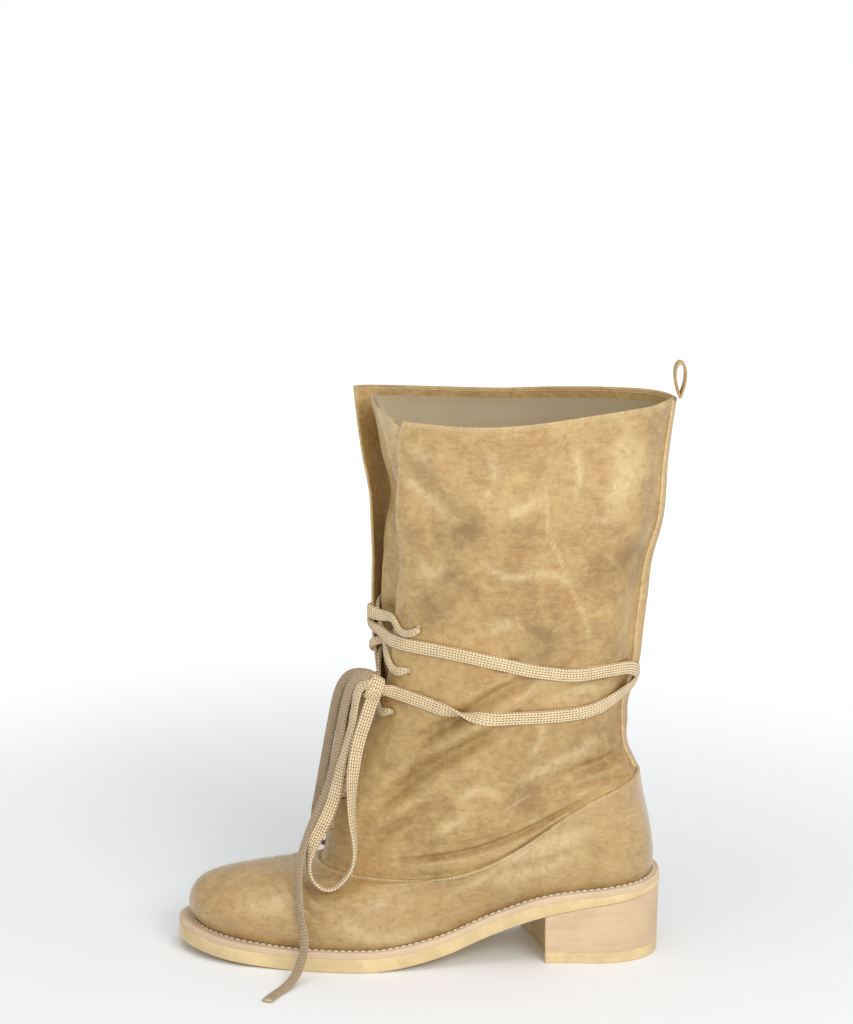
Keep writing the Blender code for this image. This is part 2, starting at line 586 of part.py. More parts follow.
def lace_runs():
    """The bars between the eyelets and the two turns round the ankle, as ribbons."""
    runs = []
    for side, lift in ((1, LACE_LIFT), (-1, LACE_LIFT + LACE_OVERLAY)):
        for low, high in zip(EYELET_LEVELS, EYELET_LEVELS[1:]):
            step = (high - low) / 4
            places = (
                Place(eyelet_share(low, side), low), Place(side, low + step),
                Place(-side, high - step), Place(eyelet_share(high, -side), high),
            )
            runs.append(laid_ribbon(places, lift))
        top = EYELET_LEVELS[-1]
        start = Place(eyelet_share(top, -side), top)
        over_edge = Place(-side, (top + WRAP[0].level) / 2)
        route = (start, over_edge, *(Place(side * place.share, place.level) for place in wrap_places()))
        runs.append(laid_ribbon(route, lift, KNOT_ENDS[0 if side < 0 else 1]))
    low = EYELET_LEVELS[0]
    shares = (eyelet_share(low, 1), 1, -1, eyelet_share(low, -1))
    runs.append(laid_ribbon([Place(share, low) for share in shares], LACE_LIFT + LACE_OVERLAY / 2))
    return runs


def lace_crossings(finish, parent):
    """All the lace that lies on the boot, joined where its runs cross."""
    first, *others = lace_runs()
    body = add_solid("lace_crossings", *first, finish, parent)
    helpers = bpy.data.collections.new("lace_runs")
    bpy.context.scene.collection.children.link(helpers)
    for number, run in enumerate(others):
        helper = add_solid(f"lace_run_{number}", *run, finish, parent)
        bpy.context.scene.collection.objects.unlink(helper)
        helpers.objects.link(helper)
        helper.hide_render = True
        helper.display_type = "WIRE"
    join = body.modifiers.new("join", "BOOLEAN")
    join.operation = "UNION"
    join.operand_type = "COLLECTION"
    join.collection = helpers
    return body


def lace_knot(finish, parent):
    """A lump with the turns of the knot as ridges."""
    rings = []
    turn = np.linspace(0, 2 * math.pi, 12, endpoint=False)
    for tilt in np.linspace(-KNOT_TILT, KNOT_TILT, 9):
        reach = math.cos(tilt) * (1 + KNOT_RIDGE * np.cos(2 * turn + 5 * tilt))
        ball = (np.cos(turn) * reach, np.full_like(turn, math.sin(tilt)), -np.sin(turn) * reach)
        rings.append(np.array(KNOT) + np.stack(ball, axis=1) * np.array(KNOT_SIZE))
    return add_solid("lace_knot", *rings_solid(rings), finish, parent)


def lace_cord(name, route, finish, parent):
    """A free stretch of the lace as a round cord along its route."""
    points = smooth_line(route, 5 * CORD_RADIUS) * MM
    curve = bpy.data.curves.new(name, "CURVE")
    curve.dimensions = "3D"
    curve.bevel_depth = CORD_RADIUS * MM
    curve.bevel_resolution = 2
    curve.use_fill_caps = True
    line = curve.splines.new("POLY")
    line.points.add(len(points) - 1)
    for point, place in zip(line.points, points):
        point.co = (*place, 1.0)
    return add_object(name, curve, finish, parent)


def clear_scene():
    for item in list(bpy.data.objects):
        bpy.data.objects.remove(item)


def main():
    clear_scene()
    boot = bpy.data.objects.new("boot", None)
    boot.location = (-FRAME_X * MM, -FRAME_Y * MM, 0)
    bpy.context.scene.collection.objects.link(boot)
    leather = material("leather", LEATHER, 0.45)
    lining = material("lining", LINING, 0.75)
    crepe = material("crepe", CREPE, 0.6)
    sole(crepe, material("welt", WELT, 0.55), material("stack", STACK, 0.55), lining, boot)
    upper(leather, boot)
    tongue(leather, boot)
    back_strip(leather, boot)
    pull_loop(leather, boot)
    lace = material("lace", LACE, 0.8)
    lace_crossings(lace, boot)
    lace_knot(lace, boot)
    lace_cord("lace_loop_outer", LOOP_OUTER, lace, boot)
    lace_cord("lace_loop_inner", LOOP_INNER, lace, boot)
    lace_cord("lace_end_outer", END_OUTER, lace, boot)
    lace_cord("lace_end_inner", END_INNER, lace, boot)


main()
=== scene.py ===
"""Looks of a left lace-up slouch boot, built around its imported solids.

Laid out as an add-on and run as a script. Tables are in the boot's own millimetres: x from the back
of the sole to the toe, y from the middle of the heel to the outer side, z from the floor.
"""

import math
from collections import namedtuple

import bpy
import numpy as np
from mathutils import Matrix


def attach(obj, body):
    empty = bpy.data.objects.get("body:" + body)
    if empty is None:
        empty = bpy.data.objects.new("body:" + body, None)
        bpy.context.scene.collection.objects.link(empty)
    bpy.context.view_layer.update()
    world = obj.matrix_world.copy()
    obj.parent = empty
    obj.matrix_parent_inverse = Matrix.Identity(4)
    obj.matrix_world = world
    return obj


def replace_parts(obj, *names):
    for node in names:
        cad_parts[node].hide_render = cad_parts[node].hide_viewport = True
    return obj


bl_info = {
    "name": "Slouch boot looks",
    "version": (1, 0, 0),
    "blender": (4, 5, 0),
    "location": "3D View > Sidebar > Boot",
    "description": "Leather, lace and sole of a slouch boot, built around its solids",
    "category": "Object",
}

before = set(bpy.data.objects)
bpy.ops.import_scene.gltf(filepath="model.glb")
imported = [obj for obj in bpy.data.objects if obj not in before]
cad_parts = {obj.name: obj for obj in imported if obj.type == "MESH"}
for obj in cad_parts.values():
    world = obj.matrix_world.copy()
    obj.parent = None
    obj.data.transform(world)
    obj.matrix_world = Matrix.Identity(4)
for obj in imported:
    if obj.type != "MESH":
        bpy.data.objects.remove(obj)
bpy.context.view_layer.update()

MM = 0.001
ORIGIN = np.array([132.35, -0.05, 0.0])      # the frame's origin in the boot's own millimetres

# The camera: where it stands, what it looks at, and where that point lies in the picture.
PICTURE = (853, 1024)
CAMERA_PLACE = (196.8, 2198.7, 780.0)
AIM_PLACE = (120.0, 0.0, 160.0)
AIM_PIXEL = (449.3, 673.2)
LENS = 143.86
SENSOR = 36.0

Point = namedtuple("Point", "x y z")
Place = namedtuple("Place", "share level")

# Sole: height of its underside along the foot, thickness of the outsole, and the parts above it.
SOLE_X = (0.0, 35.0, 70.0, 97.0, 126.0, 150.0, 165.0, 203.0, 240.0, 272.0)
SOLE_Z = (39.0, 34.0, 26.5, 17.5, 6.3, 1.4, 0.0, 0.0, 2.0, 6.0)
OUTSOLE_X = (0.0, 14.0, 40.0, 70.0, 150.0, 272.0)
OUTSOLE_THICK = (3.6, 4.2, 5.6, 7.6, 8.0, 8.0)
GAP = 0.3
WELT_THICK = 3.4
INSOLE_THICK = 3.0
INSOLE_CLEARANCE = 1.2
TOP_PIECE_THICK = 6.5
MARGIN_HEEL = 4.4
MARGIN_SIDE = 4.6
MARGIN_TOE = 9.8
BREAST_OUTER = 67.5
BREAST_INNER = 78.0
BREAST_HOLLOW = 4.5
HEEL_SET_BACK = 0.3
HEEL_INSET = 0.6

# Upper: wall, galosh over it, facing inside the collar, and the sections that give its shape.
WALL = 1.8
GALOSH_STEP = 1.4
FACING_STEP = 1.0
FACING_LEVELS = 0.165
TONGUE_THICK = 1.4
TONGUE_CLEARANCE = 1.1
TONGUE_UNDERLAP = 13.0
BACK_STRIP_HALF = 8.0
BACK_STRIP_THICK = 1.2
STRIP_SHARE = 0.12
LOOP_HEIGHT = 21.0
LOOP_DEPTH = 7.5
LOOP_WIDTH = 10.0
LOOP_THICK = 1.7
LOOP_FOOT = (-2.7, 0.0, -0.9)      # from the collar's back, onto the strip's face
SWING_T = (0.0, 0.13, 0.42, 0.62, 0.73, 0.88, 1.0)
SWING_Y = (0.0, 0.0, 2.5, 1.0, -2.0, -5.5, -7.5)
HEIGHT_T = (0.0, 0.16, 0.42, 0.68, 1.0)
WIDTH_T = (0.13, 0.42, 0.68, 0.87)
Section = namedtuple(
    "Section",
    "back_x front_x  back_z heel_z waist_z ball_z front_z  heel_w waist_w ball_w toe_w  "
    "swing power  throat gap recess",
)
SECTIONS = (
    Section(7.2, 261.5, 46.5, 42.0, 28.5, 12.3, 15.8, 28.5, 28.5, 40.5, 33.0, 1.00, 2.2, 0, 0.0, 0),
    Section(6.4, 265.6, 55.0, 50.0, 36.0, 23.5, 25.0, 30.8, 31.0, 43.8, 37.0, 1.00, 2.2, 0, 0.0, 0),
    Section(7.2, 263.0, 65.0, 59.0, 43.0, 33.0, 34.0, 31.5, 32.0, 42.4, 35.0, 1.00, 2.2, 0, 0.0, 0),
    Section(9.0, 255.0, 76.0, 68.5, 49.5, 39.8, 40.2, 31.5, 32.5, 39.0, 29.0, 0.95, 2.2, 0, 0.0, 0),
    Section(11.2, 240.0, 86.0, 77.0, 55.0, 44.6, 44.4, 31.0, 33.0, 37.0, 25.0, 0.85, 2.2, 0, 0.0, 0),
    Section(13.2, 217.0, 96.0, 85.0, 59.5, 48.2, 47.0, 30.5, 33.2, 36.5, 25.0, 0.60, 2.2, 0, 0.0, 0),
    Section(15.0, 193.0, 105.0, 93.0, 64.0, 51.5, 52.0, 29.5, 33.5, 37.0, 29.0, 0.40, 2.3, 0, 0.0, 1),
    Section(20.5, 188.5, 117.0, 106.0, 79.0, 68.0, 76.0, 28.5, 34.5, 36.5, 27.0, 0.30, 2.3, 2, 5.0, 3),
    Section(23.5, 179.0, 131.0, 122.0, 98.0, 91.0, 99.0, 28.0, 36.0, 37.0, 26.0, 0.20, 2.4, 5, 8.0, 5),
    Section(21.5, 166.0, 145.0, 139.0, 123.0, 121.0, 127.0, 28.0, 37.5, 38.0, 26.0, 0.10, 2.4, 7, 10.0, 7),
    Section(15.5, 158.5, 164.0, 160.0, 151.0, 151.0, 155.0, 28.5, 39.5, 40.0, 27.0, 0.0, 2.5, 8, 11.0, 8),
    Section(13.0, 155.0, 185.0, 184.0, 181.0, 181.0, 183.0, 29.0, 41.0, 41.5, 29.0, 0.0, 2.5, 8, 12.0, 8),
    Section(10.5, 153.5, 207.0, 207.0, 207.0, 208.0, 209.0, 30.0, 43.0, 43.0, 31.0, 0.0, 2.5, 8, 13.0, 8),
    Section(8.0, 154.0, 228.0, 229.0, 230.0, 231.0, 232.0, 30.5, 44.5, 44.5, 33.0, 0.0, 2.6, 8, 14.0, 7),
    Section(2.5, 155.5, 250.0, 252.0, 254.0, 255.0, 256.0, 31.0, 46.0, 46.5, 34.5, 0.0, 2.6, 7, 16.0, 5),
    Section(0.5, 158.5, 280.0, 281.0, 281.0, 282.0, 283.0, 31.0, 47.5, 48.0, 36.0, 0.0, 2.6, 5, 22.0, 1),
    Section(-4.0, 165.0, 317.0, 316.0, 313.0, 311.0, 312.0, 30.5, 49.0, 49.5, 38.0, 0.0, 2.6, 3, 33.0, 0.5),
)
FEATHER = 0
SEAM = 6
COLLAR = len(SECTIONS) - 1
THINNEST = 0.12             # share of the thickness that is left at a rounded edge
TONGUE_FOOT = SEAM - 0.3
TONGUE_TOP = COLLAR + 0.03
STRIP_FOOT = SEAM + 0.15
STRIP_TOP = COLLAR - 0.02
# The front of the inner flap stands ahead of its section and a little above it: how far, at levels.
# It builds up along the section and across the throat, from shares of the half gap.
LEAN_LEVEL = (9.2, 9.8, 10.4, 11.0, 12.0, 13.0, 14.0, 15.0, 16.0)
LEAN_X = (0.0, 1.2, 5.2, 8.3, 9.3, 8.5, 8.3, 13.5, 18.5)
LEAN_Z = (0.0, 0.0, 0.0, 0.0, 0.0, 0.0, 0.0, 1.0, 6.0)
LEAN_ALONG = (0.5, 0.95)
LEAN_ACROSS = (-0.2, 1.0)
# How far the outer flap reaches past the throat's plain edge, and how both edges wave, at levels.
REACH_LEVEL = (6.0, 7.0, 7.5, 8.0, 8.5, 9.0, 9.5, 10.0, 10.5, 11.2, 12.0, 12.8, 13.4, 14.2, 16.0)
REACH_PAST = (0.0, 2.5, 5.0, 8.0, 12.0, 14.5, 12.5, 10.0, 8.0, 6.5, 4.0, 0.5, 2.0, 0.5, 0.0)
WAVE_LEVEL = (7.0, 9.0, 10.0, 11.5, 12.5, 13.5, 14.3, 15.0, 15.6, 16.0)
WAVE_INNER = (0.0, 0.8, -0.6, 0.6, 0.9, 1.0, 0.6, -0.6, -0.6, 0.0)
WAVE_OUTER = (0.0, 0.4, -0.5, 0.3, 0.6, -0.7, 0.5, -0.4, 0.3, 0.0)
WAVE_FROM = 0.74            # the share of the way round where the waves begin
WAVE_RISE = (7.0, 8.5)      # the levels over which they build up
# Long waves of the collar: their height, how fast they follow one another, and where they begin.
COLLAR_WAVE = 0.9
COLLAR_WAVE_RATE = 9.0
COLLAR_WAVE_FROM = 14.8
COLLAR_WAVE_SHARES = (0.03, 0.2)
# The back seam stands out as a ridge: how deep the leather falls away beside it, at levels.
RIDGE_LEVEL = (6.2, 8.5, 11.5, 14.0, 16.0)
RIDGE_DEPTH = (0.6, 4.0, 6.5, 4.5, 2.6)
RIDGE_HALF = 8.0
RIDGE_FULL = 14.0           # the fall is whole up to here beside the seam, and gone at the next distance
RIDGE_REACH = 52.0
# Low on the back the leather swells out: how far, at which level, half how high, and to which share.
SWELL = 2.2
SWELL_LEVEL = 8.2
SWELL_HALF = 0.7
SWELL_SHARE = 0.15
BACK_SPAN = 165.0
# How far the tongue lies behind the flaps in the middle of the throat, at levels; less than 0 is ahead.
TONGUE_LEVEL = (5.7, 7.0, 9.0, 11.0, 12.0, 13.0, 14.5, 15.3, 16.1)
TONGUE_SUNK = (0.6, 3.2, 3.9, 3.5, 3.0, 3.0, 2.5, 1.5, 0.5)
# The tongue's share of the inner flap's lean, at levels.
TONGUE_LEAN_LEVEL = (12.5, 13.2, 13.7, 14.3, 15.0, 16.0)
TONGUE_LEAN = (1.0, 0.85, 0.6, 0.2, 0.36, 0.34)
# A valley with a low ridge beside it runs down the tongue's top: where it lies, as a share of the width.
VALLEY_LEVEL = (14.4, 16.0)
VALLEY_SHARE = (0.6, 0.28)
# The tongue ripples a little in its middle: how far, and how fast along the levels.
RIPPLE = 0.5
RIPPLE_RATE = 4.1
# How far the tongue's top edge is cut down at its inner and outer corner.
CUT_INNER = 16.0
CUT_OUTER = 6.0

# Folds of the leather, as lines on one side of the boot (1 outer, -1 inner) in x and z.
# A trough has a depth below zero and a ridge one above; spread is half its width.
Fold = namedtuple("Fold", "side depth spread line")
SHOULDER = 0.3              # height of a fold's shoulders as a share of its depth
SHOULDER_AT = 2.1           # and how many spreads they lie from its line
FOLD_ENDS = (-0.02, 0.3)    # shares of a fold's line over which it fades in
FOLDS = (
    Fold(1, -3.6, 3.4, ((58, 175), (78, 168), (98, 158), (117, 145), (135, 132), (154, 117))),
    Fold(1, 2.2, 4.0, ((66, 163), (88, 153), (112, 137), (132, 123))),
    Fold(1, -3.8, 3.6, ((84, 144), (100, 135), (117, 126), (129, 118), (142, 108), (157, 94), (170, 80))),
    Fold(1, 2.2, 4.5, ((92, 127), (112, 115), (130, 103), (146, 89), (158, 77))),
    Fold(1, -2.2, 2.6, ((126, 98), (142, 88), (156, 77), (168, 67))),
    Fold(1, -2.4, 3.0, ((70, 186), (92, 174), (112, 162))),
    Fold(1, -2.4, 1.3, ((27, 105), (51, 91.5), (75, 79.5), (106, 68.5), (138, 63), (166, 58.5))),
    Fold(1, 2.4, 3.8, ((28, 99), (51, 86), (75, 74), (106, 62.5), (138, 58.5), (166, 55))),
    Fold(1, -2.2, 2.4, ((15, 122), (36, 115), (60, 110))),
    Fold(1, 1.8, 3.0, ((15, 115), (36, 108.5), (58, 102))),
    Fold(1, -2.2, 4.0, ((25, 168), (46, 162), (66, 152))),
    Fold(1, 1.4, 8.0, ((30, 150), (52, 140), (76, 128))),
    Fold(1, -1.2, 2.4, ((112, 104), (124, 92), (140, 78))),
    Fold(1, -2.2, 9.0, ((148, 292), (138, 272), (126, 252))),
    Fold(1, 1.6, 9.0, ((134, 300), (122, 282), (108, 262))),
    Fold(1, -1.6, 11.0, ((60, 300), (72, 262), (70, 226))),
    Fold(1, -1.8, 8.0, ((30, 236), (46, 214), (64, 196))),
    Fold(1, -1.5, 7.0, ((132, 236), (118, 218), (100, 208))),
    Fold(-1, -3.4, 4.0, ((58, 170), (82, 162), (110, 146), (134, 128), (152, 112))),
    Fold(-1, 2.0, 4.5, ((70, 156), (96, 144), (120, 128))),
    Fold(-1, -3.4, 4.0, ((80, 138), (104, 126), (128, 112), (150, 94), (166, 80))),
    Fold(-1, -2.8, 1.8, ((30, 104), (54, 91), (80, 80), (110, 71), (140, 66), (166, 61))),
    Fold(-1, 2.2, 3.2, ((30, 97.5), (54, 84.5), (80, 73.5), (110, 65), (140, 60), (166, 56))),
    Fold(-1, -2.4, 3.6, ((20, 130), (44, 124), (66, 116))),
    Fold(-1, -1.8, 10.0, ((140, 290), (122, 262), (112, 236))),
    Fold(-1, -1.7, 10.0, ((36, 290), (54, 252), (60, 214))),
)
VAMP_CREASES = (
    Fold(0, -0.7, 1.8, ((214, 49), (208, 42), (200, 34), (190, 28))),
    Fold(0, -0.6, 1.6, ((206, 51), (199, 43), (190, 36))),
    Fold(0, -0.5, 1.5, ((222, 47.5), (217, 41), (210, 33))),
)

# Pale pull-up marks, some of them painted highlights, and dark waxed patches: lines on the outer side in x
# and z, mirrored loosely inside.
Mark = namedtuple("Mark", "strength spread line")
MARK_ENDS = (-0.15, 0.25)   # shares of a mark's line over which it fades in
PALE_MARKS = (
    Mark(0.5, 3.0, ((147, 280), (132, 268), (120, 258))),
    Mark(0.5, 0.8, ((68, 272), (67, 249), (61, 236), (57, 224))),
    Mark(0.4, 0.8, ((57, 224), (51, 210), (47, 200), (44, 184))),
    Mark(0.5, 2.2, ((103, 236), (96, 229), (83, 226.5), (64, 227.5), (54, 219))),
    Mark(1.0, 0.8, ((110, 276.5), (104, 276), (99, 274.5))),
    Mark(0.8, 1.0, ((105, 270), (104.5, 268.5))),
    Mark(0.5, 2.2, ((55, 299), (51, 287), (53, 272))),
    Mark(0.45, 2.5, ((101, 298), (98, 288), (96, 280))),
    Mark(0.7, 1.1, ((31, 278), (32, 270))),
    Mark(0.45, 1.3, ((48, 259), (40, 257.5), (31, 257.5))),
    Mark(0.5, 4.0, ((90, 262), (80, 266), (70, 272))),
    Mark(0.45, 3.0, ((100, 196), (93, 199), (86, 202))),
    Mark(0.4, 3.0, ((142, 298), (131, 289))),
    Mark(0.35, 6.0, ((140, 228), (124, 226))),
    Mark(0.4, 3.0, ((66, 154), (49, 159), (36, 158))),
    Mark(0.45, 3.5, ((84, 107), (60, 118), (37, 128))),
    Mark(0.4, 0.7, ((91, 90.5), (84, 95), (76, 99.5))),
    Mark(0.45, 3.0, ((117, 97), (104, 104), (92, 97))),
    Mark(0.4, 3.0, ((128, 79), (110, 89))),
    Mark(0.4, 2.0, ((74, 148), (70, 136), (76, 122))),
    # Painted highlight: a broad pale patch high on the shaft near its back.
    Mark(0.5, 9.0, ((28, 304), (24, 282), (30, 262))),
)
GALOSH_SCUFFS_AND_SHEEN = (
    Mark(0.5, 5.0, ((182, 28), (157, 19), (136, 23))),
    # Painted sheen: two broad pale bands along the galosh's side below the seam.
    Mark(0.6, 5.5, ((98, 62), (84, 65), (65, 69), (46, 77))),
    Mark(0.4, 5.0, ((100, 50), (70, 56), (48, 65))),
    Mark(0.35, 4.0, ((210, 40), (222, 34), (236, 34))),
    Mark(0.4, 2.5, ((120, 44), (104, 50), (92, 60))),
)
DARK_MARKS = (
    Mark(0.8, 13.0, ((116, 256), (108, 246))),
    Mark(0.6, 8.0, ((90, 254), (78, 246))),
    Mark(0.7, 15.0, ((134, 218), (118, 206))),
    Mark(0.7, 13.0, ((82, 196), (62, 184))),
    Mark(0.7, 12.0, ((24, 240), (20, 216))),
    Mark(0.5, 9.0, ((48, 126), (40, 116))),
    Mark(0.5, 14.0, ((90, 104), (70, 96))),
    Mark(0.35, 9.0, ((128, 136), (114, 140))),
    Mark(0.35, 8.0, ((146, 118), (136, 106))),
)

# Lace: levels of the eyelet pairs, the turn round the ankle, and the routes of the bow.
Eyelet = namedtuple("Eyelet", "level setback")
EYELETS = (
    Eyelet(7.0, 4.0), Eyelet(7.75, 4.5), Eyelet(8.6, 4.0), Eyelet(9.6, 13.0), Eyelet(10.5, 15.5),
    Eyelet(11.42, 19.0),
)
INNER_RISE = 0.3            # how much higher the top holes of the inner flap are, in levels
INNER_RISE_FROM = 9.0       # and the level where that starts
EYELET_RADIUS = 2.2
DENT_DEPTH = 0.9            # of the leather at a hole
DENT_HALF = 2.6
WRAP = (
    Place(0.995, 11.02), Place(0.93, 11.03), Place(0.81, 11.04), Place(0.7, 11.0), Place(0.6, 10.9),
    Place(0.5, 10.74), Place(0.396, 10.56), Place(0.307, 10.42), Place(0.215, 10.32), Place(0.13, 10.2),
    Place(0.04, 9.98), Place(-0.053, 9.52), Place(-0.108, 9.43), Place(-0.157, 9.36),
    Place(-0.216, 9.38), Place(-0.315, 9.56), Place(-0.413, 9.74), Place(-0.5, 9.84),
    Place(-0.585, 9.88), Place(-0.675, 9.88), Place(-0.72, 9.9), Place(-0.79, 9.96),
    Place(-0.865, 10.0), Place(-0.945, 10.02), Place(-0.99, 10.04),
)
# Where the turn that ends on the outer side flips over, half how long that takes, how high it rises
# there, and where the turn leaves the leather for the knot.
TWIST_SHARE = 0.672
TWIST_HALF = 0.09
TWIST_HUMP = 1.5
OUTER_STOP = -0.93
START_RISE = 0.45           # how much higher that turn starts, in levels
START_SHARES = (0.75, 1.0)
BACK_HUMP = 0.8             # how far both turns stand off at the back
BACK_HUMP_SHARE = 0.15
KNOT = Point(162.0, 20.0, 157.5)
KNOT_AXIS = Point(0.85, 0.1, 0.45)
KNOT_RADII = (6.0, 4.6)
KNOT_SKEW = 0.8             # how far the knot's band climbs along its axis
KNOT_CORE_HALF = 4.0        # half the length of the bundle that the band holds
LACE_STEP = 1.2             # between the points of a lace's path
LOOP_OUTER = (
    Point(160.5, 20, 157.2), Point(164.2, 20.5, 159.9), Point(168.6, 20.5, 159.2),
    Point(171.6, 20, 154.4), Point(173.4, 19.6, 143.7), Point(176.7, 19, 127.3), Point(181, 20, 111.4),
    Point(185.3, 22, 93.4), Point(191.3, 25, 79.8), Point(196.7, 27, 68.8), Point(199.1, 30, 57.5),
    Point(196.1, 34, 49.4), Point(188.6, 36.5, 45.8), Point(179.7, 36.5, 51.3), Point(174.6, 36, 59.8),
    Point(173.4, 34, 70.8), Point(174.7, 32, 83.6), Point(175.1, 30, 98.7), Point(173.6, 28, 115.5),
    Point(170.4, 26, 130.5), Point(166.6, 24, 142), Point(163.6, 22, 150.6), Point(161, 20.5, 156),
)
LOOP_INNER = (
    Point(160, 18.5, 157.8), Point(164.6, 13.5, 162.6), Point(172, 7, 162.2), Point(178, 1.2, 157.3),
    Point(181.2, -2.2, 150.5), Point(183.4, -5, 141.5), Point(187.4, -8, 119.4), Point(191, -11, 97.9),
    Point(193.9, -16, 80.1), Point(195.4, -23, 65), Point(193.4, -25.8, 55.4),
    Point(188.8, -31.2, 51.2), Point(184.2, -36.8, 55.4), Point(182.2, -39, 65),
    Point(181.5, -34, 81.4), Point(180.6, -25.5, 102), Point(179.5, -16, 124),
    Point(177.6, -7.5, 140.9), Point(174.6, 1, 149.6), Point(169, 10.5, 155), Point(161.5, 17.5, 156.5),
)
END_OUTER = (
    Point(160, 19, 158), Point(164, 17, 162.6), Point(170.2, 14.8, 162.4), Point(175.2, 13, 156),
    Point(178.3, 11.3, 146), Point(181.4, 10.5, 127.7), Point(184.9, 11, 108.7), Point(189.5, 14, 93.9),
    Point(195.7, 18, 80.6), Point(200.9, 23, 69.3), Point(204, 30, 59.9), Point(204.7, 37, 48.8),
    Point(204.3, 43, 39.1), Point(203, 48.5, 29.2), Point(201.8, 52.5, 20), Point(203.6, 57, 11.5),
    Point(207, 63, 5.2), Point(211.5, 70.5, 2.2), Point(217.2, 80, 1.3), Point(222.4, 91, 1.3),
)
END_INNER = (
    Point(161, 18, 157), Point(165.6, 15, 156), Point(169, 11, 150.5), Point(170.6, 7, 144),
    Point(171.8, 2.5, 137), Point(173.6, -4, 129.5), Point(176.6, -11.5, 115.5), Point(181, -19, 97.5),
    Point(184.8, -26, 80.5), Point(190, -33, 64.5), Point(199, -42, 47), Point(203, -50.5, 31),
    Point(205, -54, 15), Point(208, -57, 5), Point(214, -60, 1.8), Point(224, -61.5, 1.3),
    Point(236, -61, 1.3),
)
# Which way the flat of a free lace looks, at shares of its length.
Facing = namedtuple("Facing", "share x y z")
LOOP_OUTER_FACING = (
    Facing(0, 0.2, 0.4, 0.9), Facing(0.04, 0.4, 0.4, 0.8), Facing(0.08, 0.92, 0.35, 0.2),
    Facing(0.2, 0.9, 0.4, 0.1), Facing(0.3, 0.45, 0.9, 0), Facing(0.38, 0.4, 0.9, 0),
    Facing(0.45, 0.95, 0.3, -0.1), Facing(0.5, 0.9, 0.1, -0.5), Facing(0.55, 0.1, 0.1, -1),
    Facing(0.6, -0.8, 0.1, -0.6), Facing(0.65, -1, 0.2, 0), Facing(0.76, -0.8, 0.6, 0),
    Facing(0.84, -0.3, 1, 0), Facing(1, 0, 1, 0.2),
)
LOOP_INNER_FACING = (
    Facing(0, 0.2, 0.5, 0.85), Facing(0.05, 0.2, 0.4, 0.9), Facing(0.1, 0.8, 0.5, 0.35),
    Facing(0.15, 0.8, 0.6, 0.1), Facing(0.4, 0.75, 0.6, 0), Facing(0.46, 0.8, 0.3, -0.35),
    Facing(0.5, 0.3, 0.3, -0.9), Facing(0.54, -0.6, -0.4, -0.6), Facing(0.58, -0.75, -0.6, -0.2),
    Facing(0.7, -0.7, -0.65, 0.2), Facing(0.9, -0.65, -0.7, 0.2), Facing(0.95, -0.5, -0.5, -0.4),
    Facing(0.98, -0.3, -0.3, -0.9), Facing(1, -0.4, -0.3, -0.8),
)
END_OUTER_FACING = (
    Facing(0, 0.2, 0.5, 0.85), Facing(0.07, 0.3, 0.5, 0.8), Facing(0.14, 0.85, 0.5, 0.2),
    Facing(0.4, 0.8, 0.6, 0), Facing(0.5, 0.85, 0.5, 0.1), Facing(0.62, 0.85, 0.5, 0.2),
    Facing(0.7, 0.85, 0.45, 0.3), Facing(0.78, 0.6, 0.4, 0.7), Facing(0.85, 0.2, 0.3, 0.9),
    Facing(0.9, 0, 0.1, 1), Facing(1, 0.1, 0, 1),
)
END_INNER_FACING = (
    Facing(0, 0.3, -0.7, -0.6), Facing(0.1, 0.6, -0.6, 0.3), Facing(0.5, 0.4, -0.9, 0.3),
    Facing(0.75, 0.5, -0.8, 0.2), Facing(0.86, -0.3, -0.3, 1), Facing(1, 0, 0, 1),
)


# Curves and surfaces.

def spline(knots, values, at):
    """Natural cubic curve through rows of values at knots, carried on straight past both ends."""
    knots, values, at = (np.asarray(given, float) for given in (knots, values, at))
    columns = values.reshape(len(knots), -1)
    step = np.diff(knots)
    slope = np.diff(columns, axis=0) / step[:, None]
    matrix, right = np.eye(len(knots)), np.zeros_like(columns)
    for i in range(1, len(knots) - 1):
        matrix[i, i - 1:i + 2] = step[i - 1], 2 * (step[i - 1] + step[i]), step[i]
        right[i] = 6 * (slope[i] - slope[i - 1])
    bend = np.linalg.solve(matrix, right)
    flat = at.ravel()
    i = np.clip(np.searchsorted(knots, flat) - 1, 0, len(knots) - 2)
    inside = np.clip(flat, knots[0], knots[-1])
    a, b, h = ((knots[i + 1] - inside)[:, None], (inside - knots[i])[:, None], step[i][:, None])
    found = (bend[i] * a ** 3 + bend[i + 1] * b ** 3) / (6 * h)
    found += (columns[i] / h - bend[i] * h / 6) * a + (columns[i + 1] / h - bend[i + 1] * h / 6) * b
    found += np.minimum(flat - knots[0], 0)[:, None] * (slope[0] - step[0] * bend[1] / 6)
    found += np.maximum(flat - knots[-1], 0)[:, None] * (slope[-1] + step[-1] * bend[-2] / 6)
    return found.reshape(*at.shape, *values.shape[1:])


def steady(knots, values, at):
    """Cubic curve through values at knots that never overshoots them, level past both ends."""
    knots, values = np.asarray(knots, float), np.asarray(values, float)
    step = np.diff(knots)
    slope = np.diff(values) / step
    same_way = slope[:-1] * slope[1:] > 0
    safe = np.where(same_way, slope[:-1] + slope[1:], 1.0)
    inner = np.where(same_way, 2 * slope[:-1] * slope[1:] / safe, 0.0)
    tangent = np.concatenate([slope[:1], inner, slope[-1:]])
    at = np.clip(at, knots[0], knots[-1])
    i = np.clip(np.searchsorted(knots, at) - 1, 0, len(step) - 1)
    s = (at - knots[i]) / step[i]
    ends = values[i] * (1 + 2 * s) * (1 - s) ** 2 + values[i + 1] * s ** 2 * (3 - 2 * s)
    return ends + step[i] * (tangent[i] * s * (1 - s) ** 2 - tangent[i + 1] * s ** 2 * (1 - s))


def ease(value, start, stop):
    """Smooth step from 0 at start to 1 at stop."""
    s = np.clip((value - start) / (stop - start), 0, 1)
    return s * s * (3 - 2 * s)


